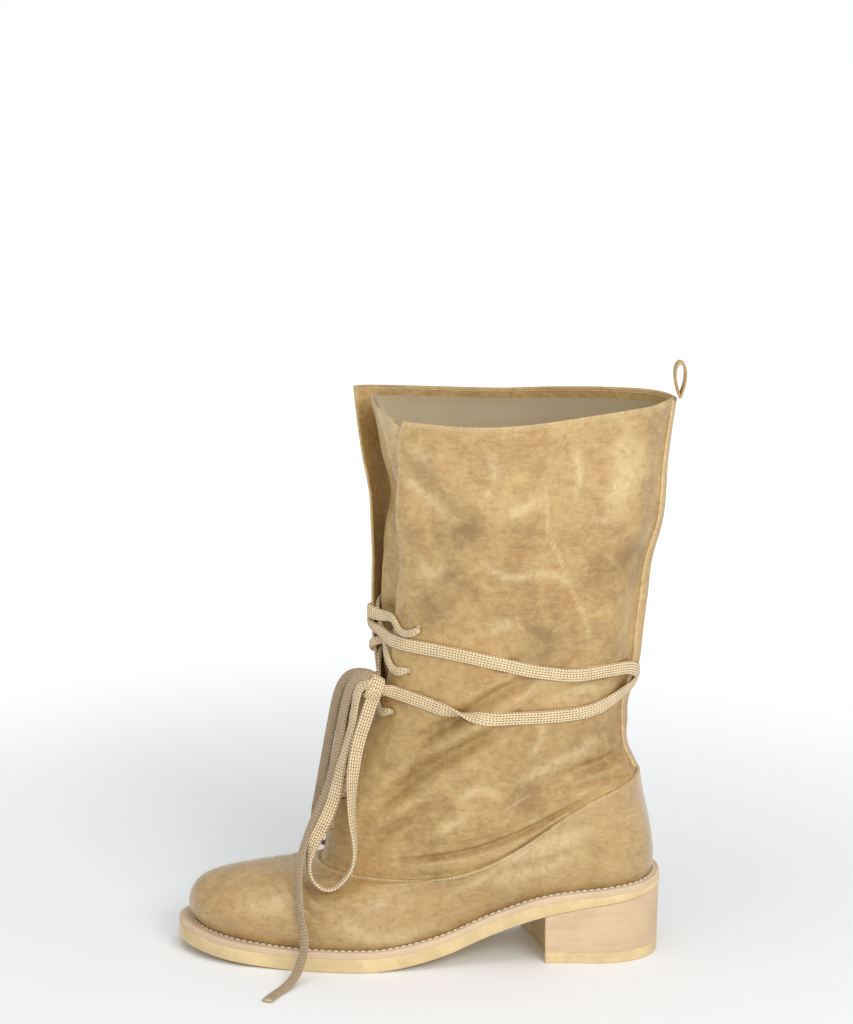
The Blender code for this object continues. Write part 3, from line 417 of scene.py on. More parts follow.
def bell(value, half):
    """1 where a value is 0, falling off on both sides as a bell of a half width."""
    return np.exp(-((value / half) ** 2))


def unit(vectors):
    """Vectors divided by their lengths."""
    return vectors / np.linalg.norm(vectors, axis=-1, keepdims=True)


def distances(points):
    """Length run along lines of points, the last but one axis being the way along."""
    steps = np.linalg.norm(np.diff(points, axis=-2), axis=-1)
    return np.concatenate([np.zeros_like(steps[..., :1]), np.cumsum(steps, axis=-1)], axis=-1)


def along(points, lengths):
    """Points of a line at lengths along it."""
    far = distances(points)
    return np.stack([np.interp(lengths, far, points[:, k]) for k in range(3)], axis=1)


def smooth_line(points, step):
    """Points about a step apart on a smooth curve through a route's own points."""
    points = np.asarray(points, float)
    fine = spline(distances(points), points, np.linspace(0, distances(points)[-1], 40 * len(points)))
    total = distances(fine)[-1]
    return along(fine, np.linspace(0, total, max(3, round(total / step) + 1)))


def sole_bottom(x):
    """Height of the sole's underside, which rises to the heel and to the toe."""
    return steady(SOLE_X, SOLE_Z, x)


def outsole_top(x):
    """Height of the outsole's upper face: its underside and its thickness."""
    return sole_bottom(x) + steady(OUTSOLE_X, OUTSOLE_THICK, x)


def welt_bottom(x):
    """Height where the outsole meets the welt, in the middle of the gap between their solids."""
    return outsole_top(x) + GAP / 2


def welt_top(x):
    """Height of the welt's upper face."""
    return outsole_top(x) + GAP + WELT_THICK


def insole_bottom(x):
    """Height of the insole's underside, a gap above the welt."""
    return welt_top(x) + GAP


def sections_at(levels):
    """The section table read at levels between its rows; the throat is shut up to the seam."""
    found = Section(*spline(range(len(SECTIONS)), SECTIONS, levels).T)
    return found._replace(gap=np.where(levels > SEAM, found.gap, 0.0))


def half_rings(levels, side, count=320, share=1.0):
    """One side of the sections at levels, from the back to the front.

    Across a section the width and height are cubic curves through their table values, and both ends
    are rounded as a superellipse; the middle line swings with the last. The foot lies on the welt,
    and the front of the inner flap leans ahead, by the given share of its lean.
    """
    s = sections_at(levels)
    t = (1 - np.cos(np.linspace(0, math.pi, count))) / 2
    width = spline(WIDTH_T, np.stack([s.heel_w, s.waist_w, s.ball_w, s.toe_w]), t).T
    height = spline(HEIGHT_T, np.stack([s.back_z, s.heel_z, s.waist_z, s.ball_z, s.front_z]), t).T
    power = s.power[:, None]
    back = np.clip((WIDTH_T[0] - t) / WIDTH_T[0], 0, 1)
    front = np.clip((t - WIDTH_T[-1]) / (1 - WIDTH_T[-1]), 0, 1)
    round_ends = ((1 - back ** power) * (1 - front ** power)) ** (1 / power)
    x = s.back_x[:, None] + (s.front_x - s.back_x)[:, None] * t
    y = s.swing[:, None] * spline(SWING_T, SWING_Y, t) + side * width * round_ends
    feather = SECTIONS[FEATHER]
    feather_z = (feather.back_z, feather.heel_z, feather.waist_z, feather.ball_z, feather.front_z)
    on_welt = np.maximum(0, 1 - levels)[:, None] ** 2
    z = height + on_welt * (insole_bottom(x) - spline(HEIGHT_T, feather_z, t))
    lean = (s.throat[:, None] - y) / np.maximum(s.gap, 1.0)[:, None]
    lean = ease(t, *LEAN_ALONG) * ease(lean, *LEAN_ACROSS) * np.broadcast_to(share, len(levels))[:, None]
    x = x + lean * steady(LEAN_LEVEL, LEAN_X, levels)[:, None]
    return np.stack([x, y, z + lean * steady(LEAN_LEVEL, LEAN_Z, levels)[:, None]], axis=2)


def flap_lengths(levels, points, side):
    """Length of half rings from the back to the flap's edge, where the throat's half gap is reached."""
    s = sections_at(levels)
    if side > 0:
        s = s._replace(gap=s.gap - steady(REACH_LEVEL, REACH_PAST, levels))
    far = distances(points)
    off = side * (points[..., 1] - s.throat[:, None])
    ahead = points[..., 0] > (s.back_x + s.front_x)[:, None] / 2
    past = ahead & (off < s.gap[:, None]) & (levels > SEAM)[:, None]
    open_here = past.any(axis=1)
    rows = np.arange(len(levels))
    end = np.where(open_here, past.argmax(axis=1), points.shape[1] - 1)
    before, after = off[rows, end - 1], off[rows, end]
    share = np.where(open_here, np.clip((before - s.gap) / np.maximum(before - after, 1e-9), 0, 1), 1.0)
    return far[rows, end - 1] + share * (far[rows, end] - far[rows, end - 1])


def upper_grid(levels, shares):
    """Points of the upper at levels (rows) and shares (a row, or one row for each level).

    A share runs from the back (0) to the edge of the outer (1) or inner (-1) flap, by length.
    """
    levels = np.asarray(levels, float)
    shares = np.broadcast_to(shares, (len(levels), np.shape(shares)[-1]))
    found = np.empty((*shares.shape, 3))
    for side in (-1, 1):
        points = half_rings(levels, side)
        far = distances(points)
        reach = flap_lengths(levels, points, side)
        for row in range(len(levels)):
            picked = shares[row] * side >= 0
            lengths = np.abs(shares[row, picked]) * reach[row]
            for k in range(3):
                found[row, picked, k] = np.interp(lengths, far[row], points[row, :, k])
    return found


def grid_normals(grid, ring=False):
    """Unit normals of a grid from its slopes across and up; a ring's columns run round and meet."""
    if ring:
        across = np.roll(grid, -1, axis=1) - np.roll(grid, 1, axis=1)
    else:
        across = np.gradient(grid, axis=1)
    return unit(np.cross(across, np.gradient(grid, axis=0)))


def line_distance(flat, line, pieces=24):
    """Distance of places to a smooth line in the plane, and the share of the line where it is nearest."""
    line = np.asarray(line, float)
    knots = distances(line)
    if len(line) > 2:
        line = spline(knots, line, np.linspace(0, knots[-1], pieces))
    start, run = line[:-1], np.diff(line, axis=0)
    best = np.full(flat.shape[:-1], 1e9)
    where = np.zeros_like(best)
    for k in range(len(run)):
        s = np.clip((flat - start[k]) @ run[k] / (run[k] @ run[k]), 0, 1)
        gap = np.linalg.norm(flat - start[k] - s[..., None] * run[k], axis=-1)
        nearer = gap < best
        best = np.where(nearer, gap, best)
        where = np.where(nearer, (k + s) / len(run), where)
    return best, where


def tapered(where, start, stop):
    """1 along the middle of a line, eased to 0 at both of its ends over the same shares."""
    return ease(where, start, stop) * ease(where, 1 - start, 1 - stop)


def side_share(shares, side):
    """1 on one side of the boot, fading to 0 at its back and front; both sides for side 0."""
    if side == 0:
        return np.ones_like(shares)
    return ease(shares * side, 0.02, 0.12)


def folded(points, shares, folds):
    """How far folds move the leather: across each line a bell with softer shoulders of the other sign."""
    flat = points[..., [0, 2]]
    moved = np.zeros(points.shape[:-1])
    for fold in folds:
        gap, where = line_distance(flat, fold.line)
        r = gap / fold.spread
        profile = bell(r, 1.0) - SHOULDER * bell(r - SHOULDER_AT, 1.0)
        moved += fold.depth * profile * tapered(where, *FOLD_ENDS) * side_share(shares, fold.side)
    return moved


def eyelet_places(side):
    """Levels and shares of one flap's eyelets, each set back from the flap's edge."""
    levels = np.array([eyelet.level for eyelet in EYELETS])
    if side < 0:
        levels = levels + INNER_RISE * ease(levels, INNER_RISE_FROM, EYELETS[-1].level)
    setbacks = np.array([eyelet.setback for eyelet in EYELETS])
    return levels, side * (1 - setbacks / flap_lengths(levels, half_rings(levels, side), side))


def puckers(points):
    """Dents at the eyelets: a bell at each hole inside a low raised ring."""
    moved = np.zeros(points.shape[:-1])
    for side in (-1, 1):
        levels, shares = eyelet_places(side)
        holes = upper_grid(levels, shares[:, None])[:, 0]
        for hole in holes:
            r = np.linalg.norm(points - hole, axis=-1)
            moved += 0.5 * bell(r - 5.0, 2.0) - DENT_DEPTH * bell(r, DENT_HALF)
    return moved


def shaped(points, levels, shares):
    """How far the shaft's leather stands off its plain form.

    The sum of its folds, which start at the seam, the waves of the flaps' edges, the ridge of the back
    seam and a swelling low on it, long soft waves of the collar and the puckers at the eyelets.
    """
    above = ease(levels, SEAM, SEAM + 0.3)
    moved = folded(points, shares, FOLDS) * above
    outer, inner = (spline(WAVE_LEVEL, wave, levels) for wave in (WAVE_OUTER, WAVE_INNER))
    around = np.abs(shares)
    moved += np.where(shares > 0, outer, inner) * ease(around, WAVE_FROM, 1.0) * ease(levels, *WAVE_RISE)
    beside = around * BACK_SPAN
    fall = (1 - bell(beside, RIDGE_HALF)) * ease(beside, RIDGE_REACH, RIDGE_FULL)
    moved -= steady(RIDGE_LEVEL, RIDGE_DEPTH, levels) * fall * above
    moved += SWELL * bell(levels - SWELL_LEVEL, SWELL_HALF) * ease(around, SWELL_SHARE, 0.0)
    waves = COLLAR_WAVE * np.sin(shares * COLLAR_WAVE_RATE + 1.0)
    moved += waves * ease(levels, COLLAR_WAVE_FROM, COLLAR) * ease(around, *COLLAR_WAVE_SHARES)
    return moved + puckers(points) * above


def leather_grid(levels, shares, ring=False):
    """The upper with its folds: every point moved along the plain surface's normal."""
    levels = np.asarray(levels, float)
    grid = upper_grid(levels, shares)
    shares = np.broadcast_to(shares, grid.shape[:2])
    normal = grid_normals(grid, ring)
    if ring:
        moved = folded(grid, shares, VAMP_CREASES)
    else:
        moved = shaped(grid, np.broadcast_to(levels[:, None], shares.shape), shares)
    grid = grid + moved[..., None] * normal
    return grid, grid_normals(grid, ring), moved


def leather_at(levels, shares):
    """Points on the folded leather for pairs of level and share, and the plain surface's normals there."""
    step = 0.004
    levels, shares = np.asarray(levels, float), np.asarray(shares, float)
    shares = np.clip(shares, step - 1, 1 - step)
    beside = shares[:, None] + np.array([step, 0, -step])
    low, here, high = (upper_grid(levels + up, beside) for up in (-step, 0, step))
    normal = unit(np.cross(here[:, 2] - here[:, 0], high[:, 1] - low[:, 1]))
    return here[:, 1] + shaped(here[:, 1], levels, shares)[:, None] * normal, normal


def marked(points, shares, marks, side=1):
    """Strength of marks over a surface: a bell across each line, faded at its ends."""
    flat = points[..., [0, 2]]
    found = np.zeros(points.shape[:-1])
    for mark in marks:
        gap, where = line_distance(flat, mark.line)
        strength = mark.strength * bell(gap, mark.spread) * tapered(where, *MARK_ENDS)
        found = np.maximum(found, strength)
    return found * side_share(shares, side)


# Meshes.

def numbered(*shape):
    """Numbers of the points of rings, row by row, each ring closed by its first point."""
    rows = np.arange(math.prod(shape)).reshape(shape)
    return np.concatenate([rows, rows[..., :1]], axis=-1)


def cells(number):
    """The four corners of every cell of a grid of numbers, or of a row of such grids."""
    corners = (number[..., :-1, :-1], number[..., :-1, 1:], number[..., 1:, 1:], number[..., 1:, :-1])
    return np.stack(corners, axis=-1).reshape(-1, 4)


def spindles(rings):
    """Points, quads and end faces of closed shapes, from the rings of each, first ring to last."""
    number = numbered(*rings.shape[:3])
    ends = np.concatenate([number[:, 0, -2::-1], number[:, -1, :-1]])
    return rings.reshape(-1, 3), cells(number), ends


def sheet(outside, inside, ring=False):
    """Points and quads of a closed sheet between two grids, stitched round its rim."""
    rows, columns = outside.shape[:2]
    out = numbered(rows, columns)
    if not ring:
        out = out[:, :-1]
    quads = cells(out)
    behind = rows * columns
    if ring:
        rims = (out[0], out[-1, ::-1])
    else:
        rims = (np.concatenate([out[0], out[1:, -1], out[-1, -2::-1], out[-2::-1, 0]]),)
    edges = [np.stack([rim[:-1] + behind, rim[1:] + behind, rim[1:], rim[:-1]], axis=1) for rim in rims]
    points = np.concatenate([outside.reshape(-1, 3), inside.reshape(-1, 3)])
    return points, np.concatenate([quads, quads[:, ::-1] + behind, *edges])


def lined(quads, outer, where=True):
    """Marks the quads of a sheet's inside, which come after those of its outside, where it is lined."""
    second = np.zeros(len(quads), bool)
    second[outer:2 * outer] = where
    return second


def on_outside(**values):
    """Attributes of a sheet's points: values over its outside, and 0 over its inside."""
    return {name: np.concatenate([given.ravel(), np.zeros(given.size)]) for name, given in values.items()}


def rounded(distance, radius):
    """Share of full thickness at a distance from an edge that is rounded with a radius."""
    s = np.clip(distance / radius, 0, 1)
    return np.maximum(THINNEST, np.sqrt(1 - (1 - s) ** 2))


def ribbon(centres, facing, width, thick, around=16):
    """Flat lace: a squarish oval carried along a path, its flat side turned to the facing.

    The width is one number or one for each point of the path. Gives points, quads, end faces and, for
    each corner of the quads, the length along and the share of the way around.
    """
    run = unit(np.gradient(centres, axis=0))
    across = unit(np.cross(facing, run))
    up = np.cross(run, across)
    angle = np.linspace(0, 2 * math.pi, around + 1)
    wide = np.sign(np.cos(angle)) * np.abs(np.cos(angle)) ** 0.55 / 2
    high = np.sign(np.sin(angle)) * np.abs(np.sin(angle)) ** 0.75 * thick / 2
    width = np.broadcast_to(width, len(centres))[:, None, None]
    rings = centres[:, None] + across[:, None] * wide[:, None] * width + up[:, None] * high[:, None]
    rows = numbered(len(centres), around)
    profile = distances(np.stack([wide * width.max(), high], axis=1))
    far = np.broadcast_to(distances(centres)[:, None], rows.shape)
    place = np.stack([far, np.broadcast_to(profile / profile[-1], rows.shape)], axis=2)
    corners = np.stack([place[:-1, :-1], place[:-1, 1:], place[1:, 1:], place[1:, :-1]], axis=2)
    ends = np.stack([rows[0, -2::-1], rows[-1, :-1]])
    return rings[:, :-1].reshape(-1, 3), cells(rows), ends, corners.reshape(-1, 2)


def facing_along(table, count):
    """The way a lace's flat looks at points evenly spaced along it, from a short table."""
    table = np.array(table, float)
    at = np.linspace(0, 1, count)
    return unit(np.stack([np.interp(at, table[:, 0], table[:, k]) for k in (1, 2, 3)], axis=1))


def piece(name, points, quads, materials, slot, ends=None, values=None, corners=None, second=None):
    """One object from points in millimetres and its faces, riding on the boot.

    ends are faces with more corners, values are attributes of the points, corners are places for a
    UV map, and second marks the quads that have the second material.
    """
    mesh = bpy.data.meshes.new(name)
    ends = np.empty((0, 3), int) if ends is None else ends
    sizes = np.concatenate([np.full(len(quads), 4), np.full(len(ends), ends.shape[1])])
    loops = np.concatenate([quads.ravel(), ends.ravel()]).astype(np.int32)
    mesh.vertices.add(len(points))
    mesh.vertices.foreach_set("co", ((points - ORIGIN) * MM).astype(np.float32).ravel())
    mesh.loops.add(len(loops))
    mesh.loops.foreach_set("vertex_index", loops)
    mesh.polygons.add(len(sizes))
    mesh.polygons.foreach_set("loop_start", np.concatenate([[0], np.cumsum(sizes)[:-1]]).astype(np.int32))
    mesh.update(calc_edges=True)
    for label, given in (values or {}).items():
        layer = mesh.attributes.new(label, "FLOAT", "POINT")
        layer.data.foreach_set("value", np.asarray(given, np.float32).ravel())
    if corners is not None:
        layer = mesh.uv_layers.new(name="Lace")
        filled = np.concatenate([corners, np.zeros((ends.size, 2))])
        layer.uv.foreach_set("vector", filled.astype(np.float32).ravel())
    for material in materials:
        mesh.materials.append(material)
    if second is not None:
        chosen = np.concatenate([second, np.zeros(len(ends), bool)])
        mesh.polygons.foreach_set("material_index", chosen.astype(np.int32))
    mesh.shade_smooth()
    made = bpy.data.objects.new(name, mesh)
    bpy.context.scene.collection.objects.link(made)
    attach(made, "root")
    return made


def joined(parts):
    """Several shapes as one: points, quads and end faces, renumbered, and corners where they have them."""
    shift = np.cumsum([0, *(len(part[0]) for part in parts[:-1])])
    counted = [(part[0], part[1] + by, part[2] + by, *part[3:]) for part, by in zip(parts, shift)]
    return tuple(np.concatenate(rows) for rows in zip(*counted))


# Materials.

def add_node(tree, kind, settings=None, **inputs):
    """A shader node with its settings and the values or links of its inputs."""
    node = tree.nodes.new(kind)
    for name, value in (settings or {}).items():
        setattr(node, name, value)
    for name, value in inputs.items():
        socket = node.inputs[int(name[1:])] if name[0] == "_" else node.inputs[name.replace("_", " ")]
        if isinstance(value, bpy.types.NodeSocket):
            tree.links.new(value, socket)
        else:
            socket.default_value = value
    return node


def math_node(tree, operation, first, second=0.0):
    """Arithmetic on one or two values."""
    return add_node(tree, "ShaderNodeMath", {"operation": operation}, _0=first, _1=second).outputs[0]


def times(tree, first, second):
    """The product of two values."""
    return math_node(tree, "MULTIPLY", first, second)


def plus(tree, first, second):
    """Two values added."""
    return math_node(tree, "ADD", first, second)


def mixed(tree, factor, first, second):
    """Two colours mixed by a factor."""
    node = add_node(tree, "ShaderNodeMix", {"data_type": "RGBA"}, _0=factor, _6=first, _7=second)
    return node.outputs[2]


def stretched(tree, value, low, high, to_low=0.0, to_high=1.0):
    """A value carried from one range to another, held at the ends."""
    settings = {"interpolation_type": "SMOOTHSTEP"}
    node = add_node(tree, "ShaderNodeMapRange", settings, _0=value, _1=low, _2=high, _3=to_low, _4=to_high)
    return node.outputs[0]


def noise(tree, place, scale, detail=3.0, rough=0.55, twist=0.0):
    """Clouds at a scale in each metre."""
    node = add_node(tree, "ShaderNodeTexNoise", Vector=place, Scale=scale, Detail=detail, Roughness=rough)
    node.inputs["Distortion"].default_value = twist
    return node.outputs[0]


def mapped(tree, place, scale, turn=(0.0, 0.0, 0.0)):
    """A place turned and then stretched along its axes."""
    return add_node(tree, "ShaderNodeMapping", Vector=place, Scale=scale, Rotation=turn).outputs[0]


def attribute(tree, name):
    """A number that the points of a piece carry."""
    return add_node(tree, "ShaderNodeAttribute", {"attribute_name": name}).outputs["Fac"]


def colour(rgb):
    """A colour with the opaque fourth number that sockets take."""
    return (*rgb, 1.0)


def shaded(rgb, by):
    """A colour made darker, or lighter, by a factor."""
    return [by * part for part in rgb]


def new_material(name):
    """A material with its node tree, its shader and the place on the piece."""
    made = bpy.data.materials.new(name)
    made.use_nodes = True
    tree = made.node_tree
    shader = tree.nodes["Principled BSDF"]
    place = tree.nodes.new("ShaderNodeTexCoord").outputs["Object"]
    return made, tree, shader, place


def bump(tree, shader, height, strength, distance):
    """Relief on a shader from a height, its full height being a distance in metres."""
    node = add_node(tree, "ShaderNodeBump", Height=height, Strength=strength, Distance=distance)
    tree.links.new(node.outputs[0], shader.inputs["Normal"])


def waxed_leather(name, colours, gloss, coat, calm):
    """Pull-up leather: clouds at three scales, ruddy patches, brushed streaks, grain and fine wrinkles.

    Pale marks come from one point attribute: scuffs, worn edges and painted highlights. Dark patches come
    from another: waxed patches and painted shade in creases. Calm leather has fainter clouds.
    """
    made, tree, shader, place = new_material(name)
    cloud = stretched(tree, noise(tree, place, 21.0, 3.0, 0.55, 0.6), 0.36, 0.64, calm, 1.0)
    patch = stretched(tree, noise(tree, place, 66.0, 5.0, 0.62, 0.9), 0.36, 0.68)
    fleck = noise(tree, place, 250.0, 5.0, 0.68, 0.4)
    turned = mapped(tree, place, (31.0, 31.0, 31.0), (0.4, 0.2, 0.9))
    ruddy = stretched(tree, noise(tree, turned, 1.0, 4.0), 0.5, 0.72)
    brushed = noise(tree, mapped(tree, place, (150.0, 150.0, 620.0), (0.0, 0.3, 0.0)), 1.0, 3.0, 0.62)
    deep, light = colour(colours.leather_deep), colour(colours.leather_light)
    ground = mixed(tree, cloud, deep, colour(colours.leather))
    ground = mixed(tree, times(tree, patch, 0.55 - 0.5 * calm), ground, light)
    ground = mixed(tree, times(tree, ruddy, 0.5), ground, colour(colours.leather_ruddy))
    ground = mixed(tree, stretched(tree, brushed, 0.42, 0.75, 0.0, 0.4), ground, light)
    ground = mixed(tree, stretched(tree, fleck, 0.5, 0.3, 0.0, 0.55), ground, deep)
    ground = mixed(tree, stretched(tree, fleck, 0.52, 0.74, 0.0, 0.45), ground, light)
    # Dark patches: waxed patches, and painted shade in creases and at the galosh's foot.
    wax = times(tree, attribute(tree, "wax"), stretched(tree, patch, 0.0, 1.0, 0.95, 0.4))
    ground = mixed(tree, wax, ground, colour(colours.leather_dark))
    # Pale marks: scuffs and worn edges, and painted highlights and sheen.
    worn = times(tree, attribute(tree, "worn"), stretched(tree, fleck, 0.25, 0.6, 0.4, 1.0))
    ground = mixed(tree, worn, ground, colour(colours.leather_pale))
    tree.links.new(ground, shader.inputs["Base Color"])
    rough = stretched(tree, patch, 0.0, 1.0, gloss, gloss + 0.16)
    tree.links.new(rough, shader.inputs["Roughness"])
    shader.inputs["Specular IOR Level"].default_value = 0.45
    shader.inputs["Coat Weight"].default_value = coat
    shader.inputs["Coat Roughness"].default_value = 0.22
    pores = add_node(tree, "ShaderNodeTexVoronoi", Vector=place, Scale=900.0).outputs["Distance"]
    grain = plus(tree, pores, times(tree, noise(tree, place, 420.0, 4.0), 1.6))
    grain = plus(tree, grain, times(tree, brushed, 1.0))
    wrinkle = math_node(tree, "SUBTRACT", noise(tree, place, 120.0, 3.0, 0.6, 1.2), 0.5)
    wrinkle = stretched(tree, math_node(tree, "ABSOLUTE", wrinkle), 0.0, 0.05)
    grain = plus(tree, grain, times(tree, wrinkle, 1.3))
    bump(tree, shader, grain, 0.2, 0.0006)
    return made


def plain_leather(name, light, dark, rough, scale=40.0):
    """Undyed leather or lining: two tones in soft clouds with a fine nap."""
    made, tree, shader, place = new_material(name)
    cloud = stretched(tree, noise(tree, place, scale, 4.0, 0.6), 0.3, 0.72)
    tree.links.new(mixed(tree, cloud, colour(dark), colour(light)), shader.inputs["Base Color"])
    shader.inputs["Roughness"].default_value = rough
    shader.inputs["Specular IOR Level"].default_value = 0.3
    bump(tree, shader, noise(tree, place, 900.0, 3.0), 0.12, 0.0004)
    return made


def crepe_rubber(name, light, dark):
    """Natural crepe: warm yellow with darker flecks and a slightly rough skin."""
    made, tree, shader, place = new_material(name)
    cloud = stretched(tree, noise(tree, place, 60.0, 4.0, 0.6), 0.35, 0.7)
    fleck = stretched(tree, noise(tree, place, 420.0, 2.0), 0.62, 0.74, 0.0, 0.5)
    ground = mixed(tree, cloud, colour(dark), colour(light))
    tree.links.new(mixed(tree, fleck, ground, colour(dark)), shader.inputs["Base Color"])
    shader.inputs["Roughness"].default_value = 0.55
    shader.inputs["Specular IOR Level"].default_value = 0.4
    bump(tree, shader, noise(tree, place, 520.0, 4.0), 0.2, 0.0005)
    return made


def stacked_leather(name, light, dark):
    """Heel lifts: fine level lines from noise squeezed in height, over soft clouds."""
    made, tree, shader, place = new_material(name)
    lines = noise(tree, mapped(tree, place, (40.0, 40.0, 2200.0)), 1.0, 3.0, 0.6)
    cloud = noise(tree, place, 50.0, 3.0)
    shade = plus(tree, times(tree, lines, 0.55), times(tree, cloud, 0.5))
    ground = mixed(tree, stretched(tree, shade, 0.34, 0.7), colour(dark), colour(light))
    tree.links.new(ground, shader.inputs["Base Color"])
    shader.inputs["Roughness"].default_value = 0.55
    shader.inputs["Specular IOR Level"].default_value = 0.35
    bump(tree, shader, lines, 0.16, 0.0004)
    return made


def braided_lace(name, light, dark, soil_and_shade_tone):
    """Flat braid on the lace's own map: twelve ribs around, with chevrons that turn at each rib."""
    made, tree, shader, place = new_material(name)
    map_node = add_node(tree, "ShaderNodeUVMap", {"uv_map": "Lace"})
    split = add_node(tree, "ShaderNodeSeparateXYZ", Vector=map_node.outputs[0])
    ribs = plus(tree, times(tree, split.outputs[1], 12.0), 0.5)
    slant = times(tree, math_node(tree, "PINGPONG", ribs, 1.0), 0.5)
    phase = plus(tree, times(tree, split.outputs[0], 0.55), slant)
    strand = math_node(tree, "ABSOLUTE", math_node(tree, "SINE", times(tree, phase, math.pi)))
    valley = math_node(tree, "ABSOLUTE", math_node(tree, "SINE", times(tree, ribs, math.pi)))
    strand = stretched(tree, strand, 0.0, 0.8, 0.4, 1.0)
    height = times(tree, strand, math_node(tree, "POWER", valley, 0.5))
    cloud = noise(tree, place, 160.0, 3.0)
    shade = plus(tree, times(tree, height, 0.8), times(tree, cloud, 0.3))
    ground = mixed(tree, stretched(tree, shade, 0.2, 0.9), colour(dark), colour(light))
    # Darker, redder stretches of lace: soiling, and painted shade on strands that face away from the light.
    soil_and_shade = times(tree, attribute(tree, "soil_and_shade"), stretched(tree, cloud, 0.2, 0.6, 0.5, 0.8))
    ground = mixed(tree, soil_and_shade, ground, colour(soil_and_shade_tone))
    tree.links.new(ground, shader.inputs["Base Color"])
    shader.inputs["Roughness"].default_value = 0.75
    shader.inputs["Specular IOR Level"].default_value = 0.25
    shader.inputs["Sheen Weight"].default_value = 0.2
    bump(tree, shader, height, 0.8, 0.0007)
    return made


def punched_hole(name, dark):
    """Painted shade inside a punched hole: near black with a fine mottle."""
    made, tree, shader, place = new_material(name)
    ground = mixed(tree, noise(tree, place, 900.0, 2.0), colour(dark), colour(shaded(dark, 2.2)))
    tree.links.new(ground, shader.inputs["Base Color"])
    shader.inputs["Roughness"].default_value = 0.85
    return made


def thread(name, light):
    """Sewing thread: a fine mottle for its twist."""
    made, tree, shader, place = new_material(name)
    twist = noise(tree, place, 1800.0, 2.0)
    ground = mixed(tree, twist, colour(shaded(light, 0.6)), colour(light))
    tree.links.new(ground, shader.inputs["Base Color"])
    shader.inputs["Roughness"].default_value = 0.7
    return made


# What a user would change.

def tone(name, description, default):
    """A colour property."""
    return bpy.props.FloatVectorProperty(
        name=name, description=description, subtype="COLOR", size=3, min=0.0, max=1.0, default=default
    )


def length(name, description, default):
    """A length property, in metres."""
    return bpy.props.FloatProperty(
        name=name, description=description, unit="LENGTH", min=0.0, default=default
    )


class BootColours(bpy.types.PropertyGroup):
    """Colours of the boot's finishes."""

    leather: tone("Leather", "Main tone of the waxed leather", (0.455, 0.282, 0.104))
    leather_deep: tone("Leather deep", "Darker clouds of the leather", (0.31, 0.176, 0.06))
    leather_light: tone("Leather light", "Lighter clouds and streaks", (0.61, 0.435, 0.185))
    leather_ruddy: tone("Leather ruddy", "Redder patches of the leather", (0.48, 0.255, 0.09))
    # The dark tone also paints shade in creases and at the galosh's foot, and the pale tone paints
    # highlights and sheen.
    leather_dark: tone("Leather dark", "Waxed dark patches and creases", (0.22, 0.125, 0.042))
    leather_pale: tone("Leather pale", "Scuffs, pulled edges and veins", (0.78, 0.61, 0.34))
    lining: tone("Lining", "Inside of the shaft and the insole", (0.95, 0.84, 0.60))
    crepe: tone("Crepe", "Outsole and top piece", (0.82, 0.62, 0.33))
    welt: tone("Welt", "Welt round the sole's edge", (0.74, 0.56, 0.37))
    stack: tone("Stack", "Stacked heel", (0.74, 0.54, 0.34))
    lace: tone("Lace", "Braided lace", (0.95, 0.74, 0.45))
    lace_dark: tone("Lace dark", "Grooves of the braid", (0.21, 0.13, 0.06))
    # Darker, redder lace: soiling, and painted shade on strands that face away from the light.
    lace_soil_and_shade: tone("Lace soiled", "Handled stretches of the lace", (0.245, 0.153, 0.088))
    # Painted shade: the near-black inside of the punched holes.
    hole: tone("Hole", "Inside of the punched holes", (0.035, 0.022, 0.012))
    sewing: tone("Sewing", "Thread of the seams", (0.80, 0.68, 0.42))
    welt_sewing: tone("Welt sewing", "Thread of the welt", (0.88, 0.78, 0.64))
    floor: tone("Floor", "Studio floor", (0.895, 0.915, 0.93))


class BootSizes(bpy.types.PropertyGroup):
    """Sizes that can change without moving the boot's pieces."""

    lace_width: length("Lace width", "Width of the flat lace", 0.0076)
    lace_thick: length("Lace thickness", "Thickness of the flat lace", 0.0023)
    stitch: length("Stitch", "Length of a stitch at the galosh's edge", 0.0013)
    stitch_gap: length("Stitch gap", "Leather between two of those stitches", 0.0007)
    fine_stitch: length("Fine stitch", "Length of a stitch at the collar and the back strip", 0.0010)
    fine_gap: length("Fine gap", "Leather between two fine stitches", 0.00055)
    welt_stitch: length("Welt stitch", "Length of a stitch in the welt", 0.0026)
    welt_gap: length("Welt gap", "Welt between two stitches", 0.0012)


def millimetres(value):
    """A length property in the tables' millimetres."""
    return value / MM


def finish(name, make, *arguments):
    """A material made once and used by every piece that asks for it."""
    return bpy.data.materials.get(name) or make(name, *arguments)


# Finishes of the waxed leather: how rough its shine is, the weight of its coat, how faint its clouds are.
Wax = namedtuple("Wax", "gloss coat calm")
SHAFT_WAX = Wax(0.4, 0.12, 0.2)
GALOSH_WAX = Wax(0.3, 0.7, 0.5)


def leather_of(colours):
    """The shaft's waxed leather, which the tongue, back strip and pull loop share."""
    return finish("waxed_leather", waxed_leather, colours, *SHAFT_WAX)


def lining_of(colours):
    """The matt lining."""
    return finish("lining", plain_leather, colours.lining, shaded(colours.lining, 0.8), 0.75)


def lace_of(colours):
    """The lace's braid."""
    return finish("braided_lace", braided_lace, colours.lace, colours.lace_dark, colours.lace_soil_and_shade)


def crepe_of(colours):
    """The sole's crepe."""
    return finish("crepe_rubber", crepe_rubber, colours.crepe, shaded(colours.crepe, 0.82))


# Sole.

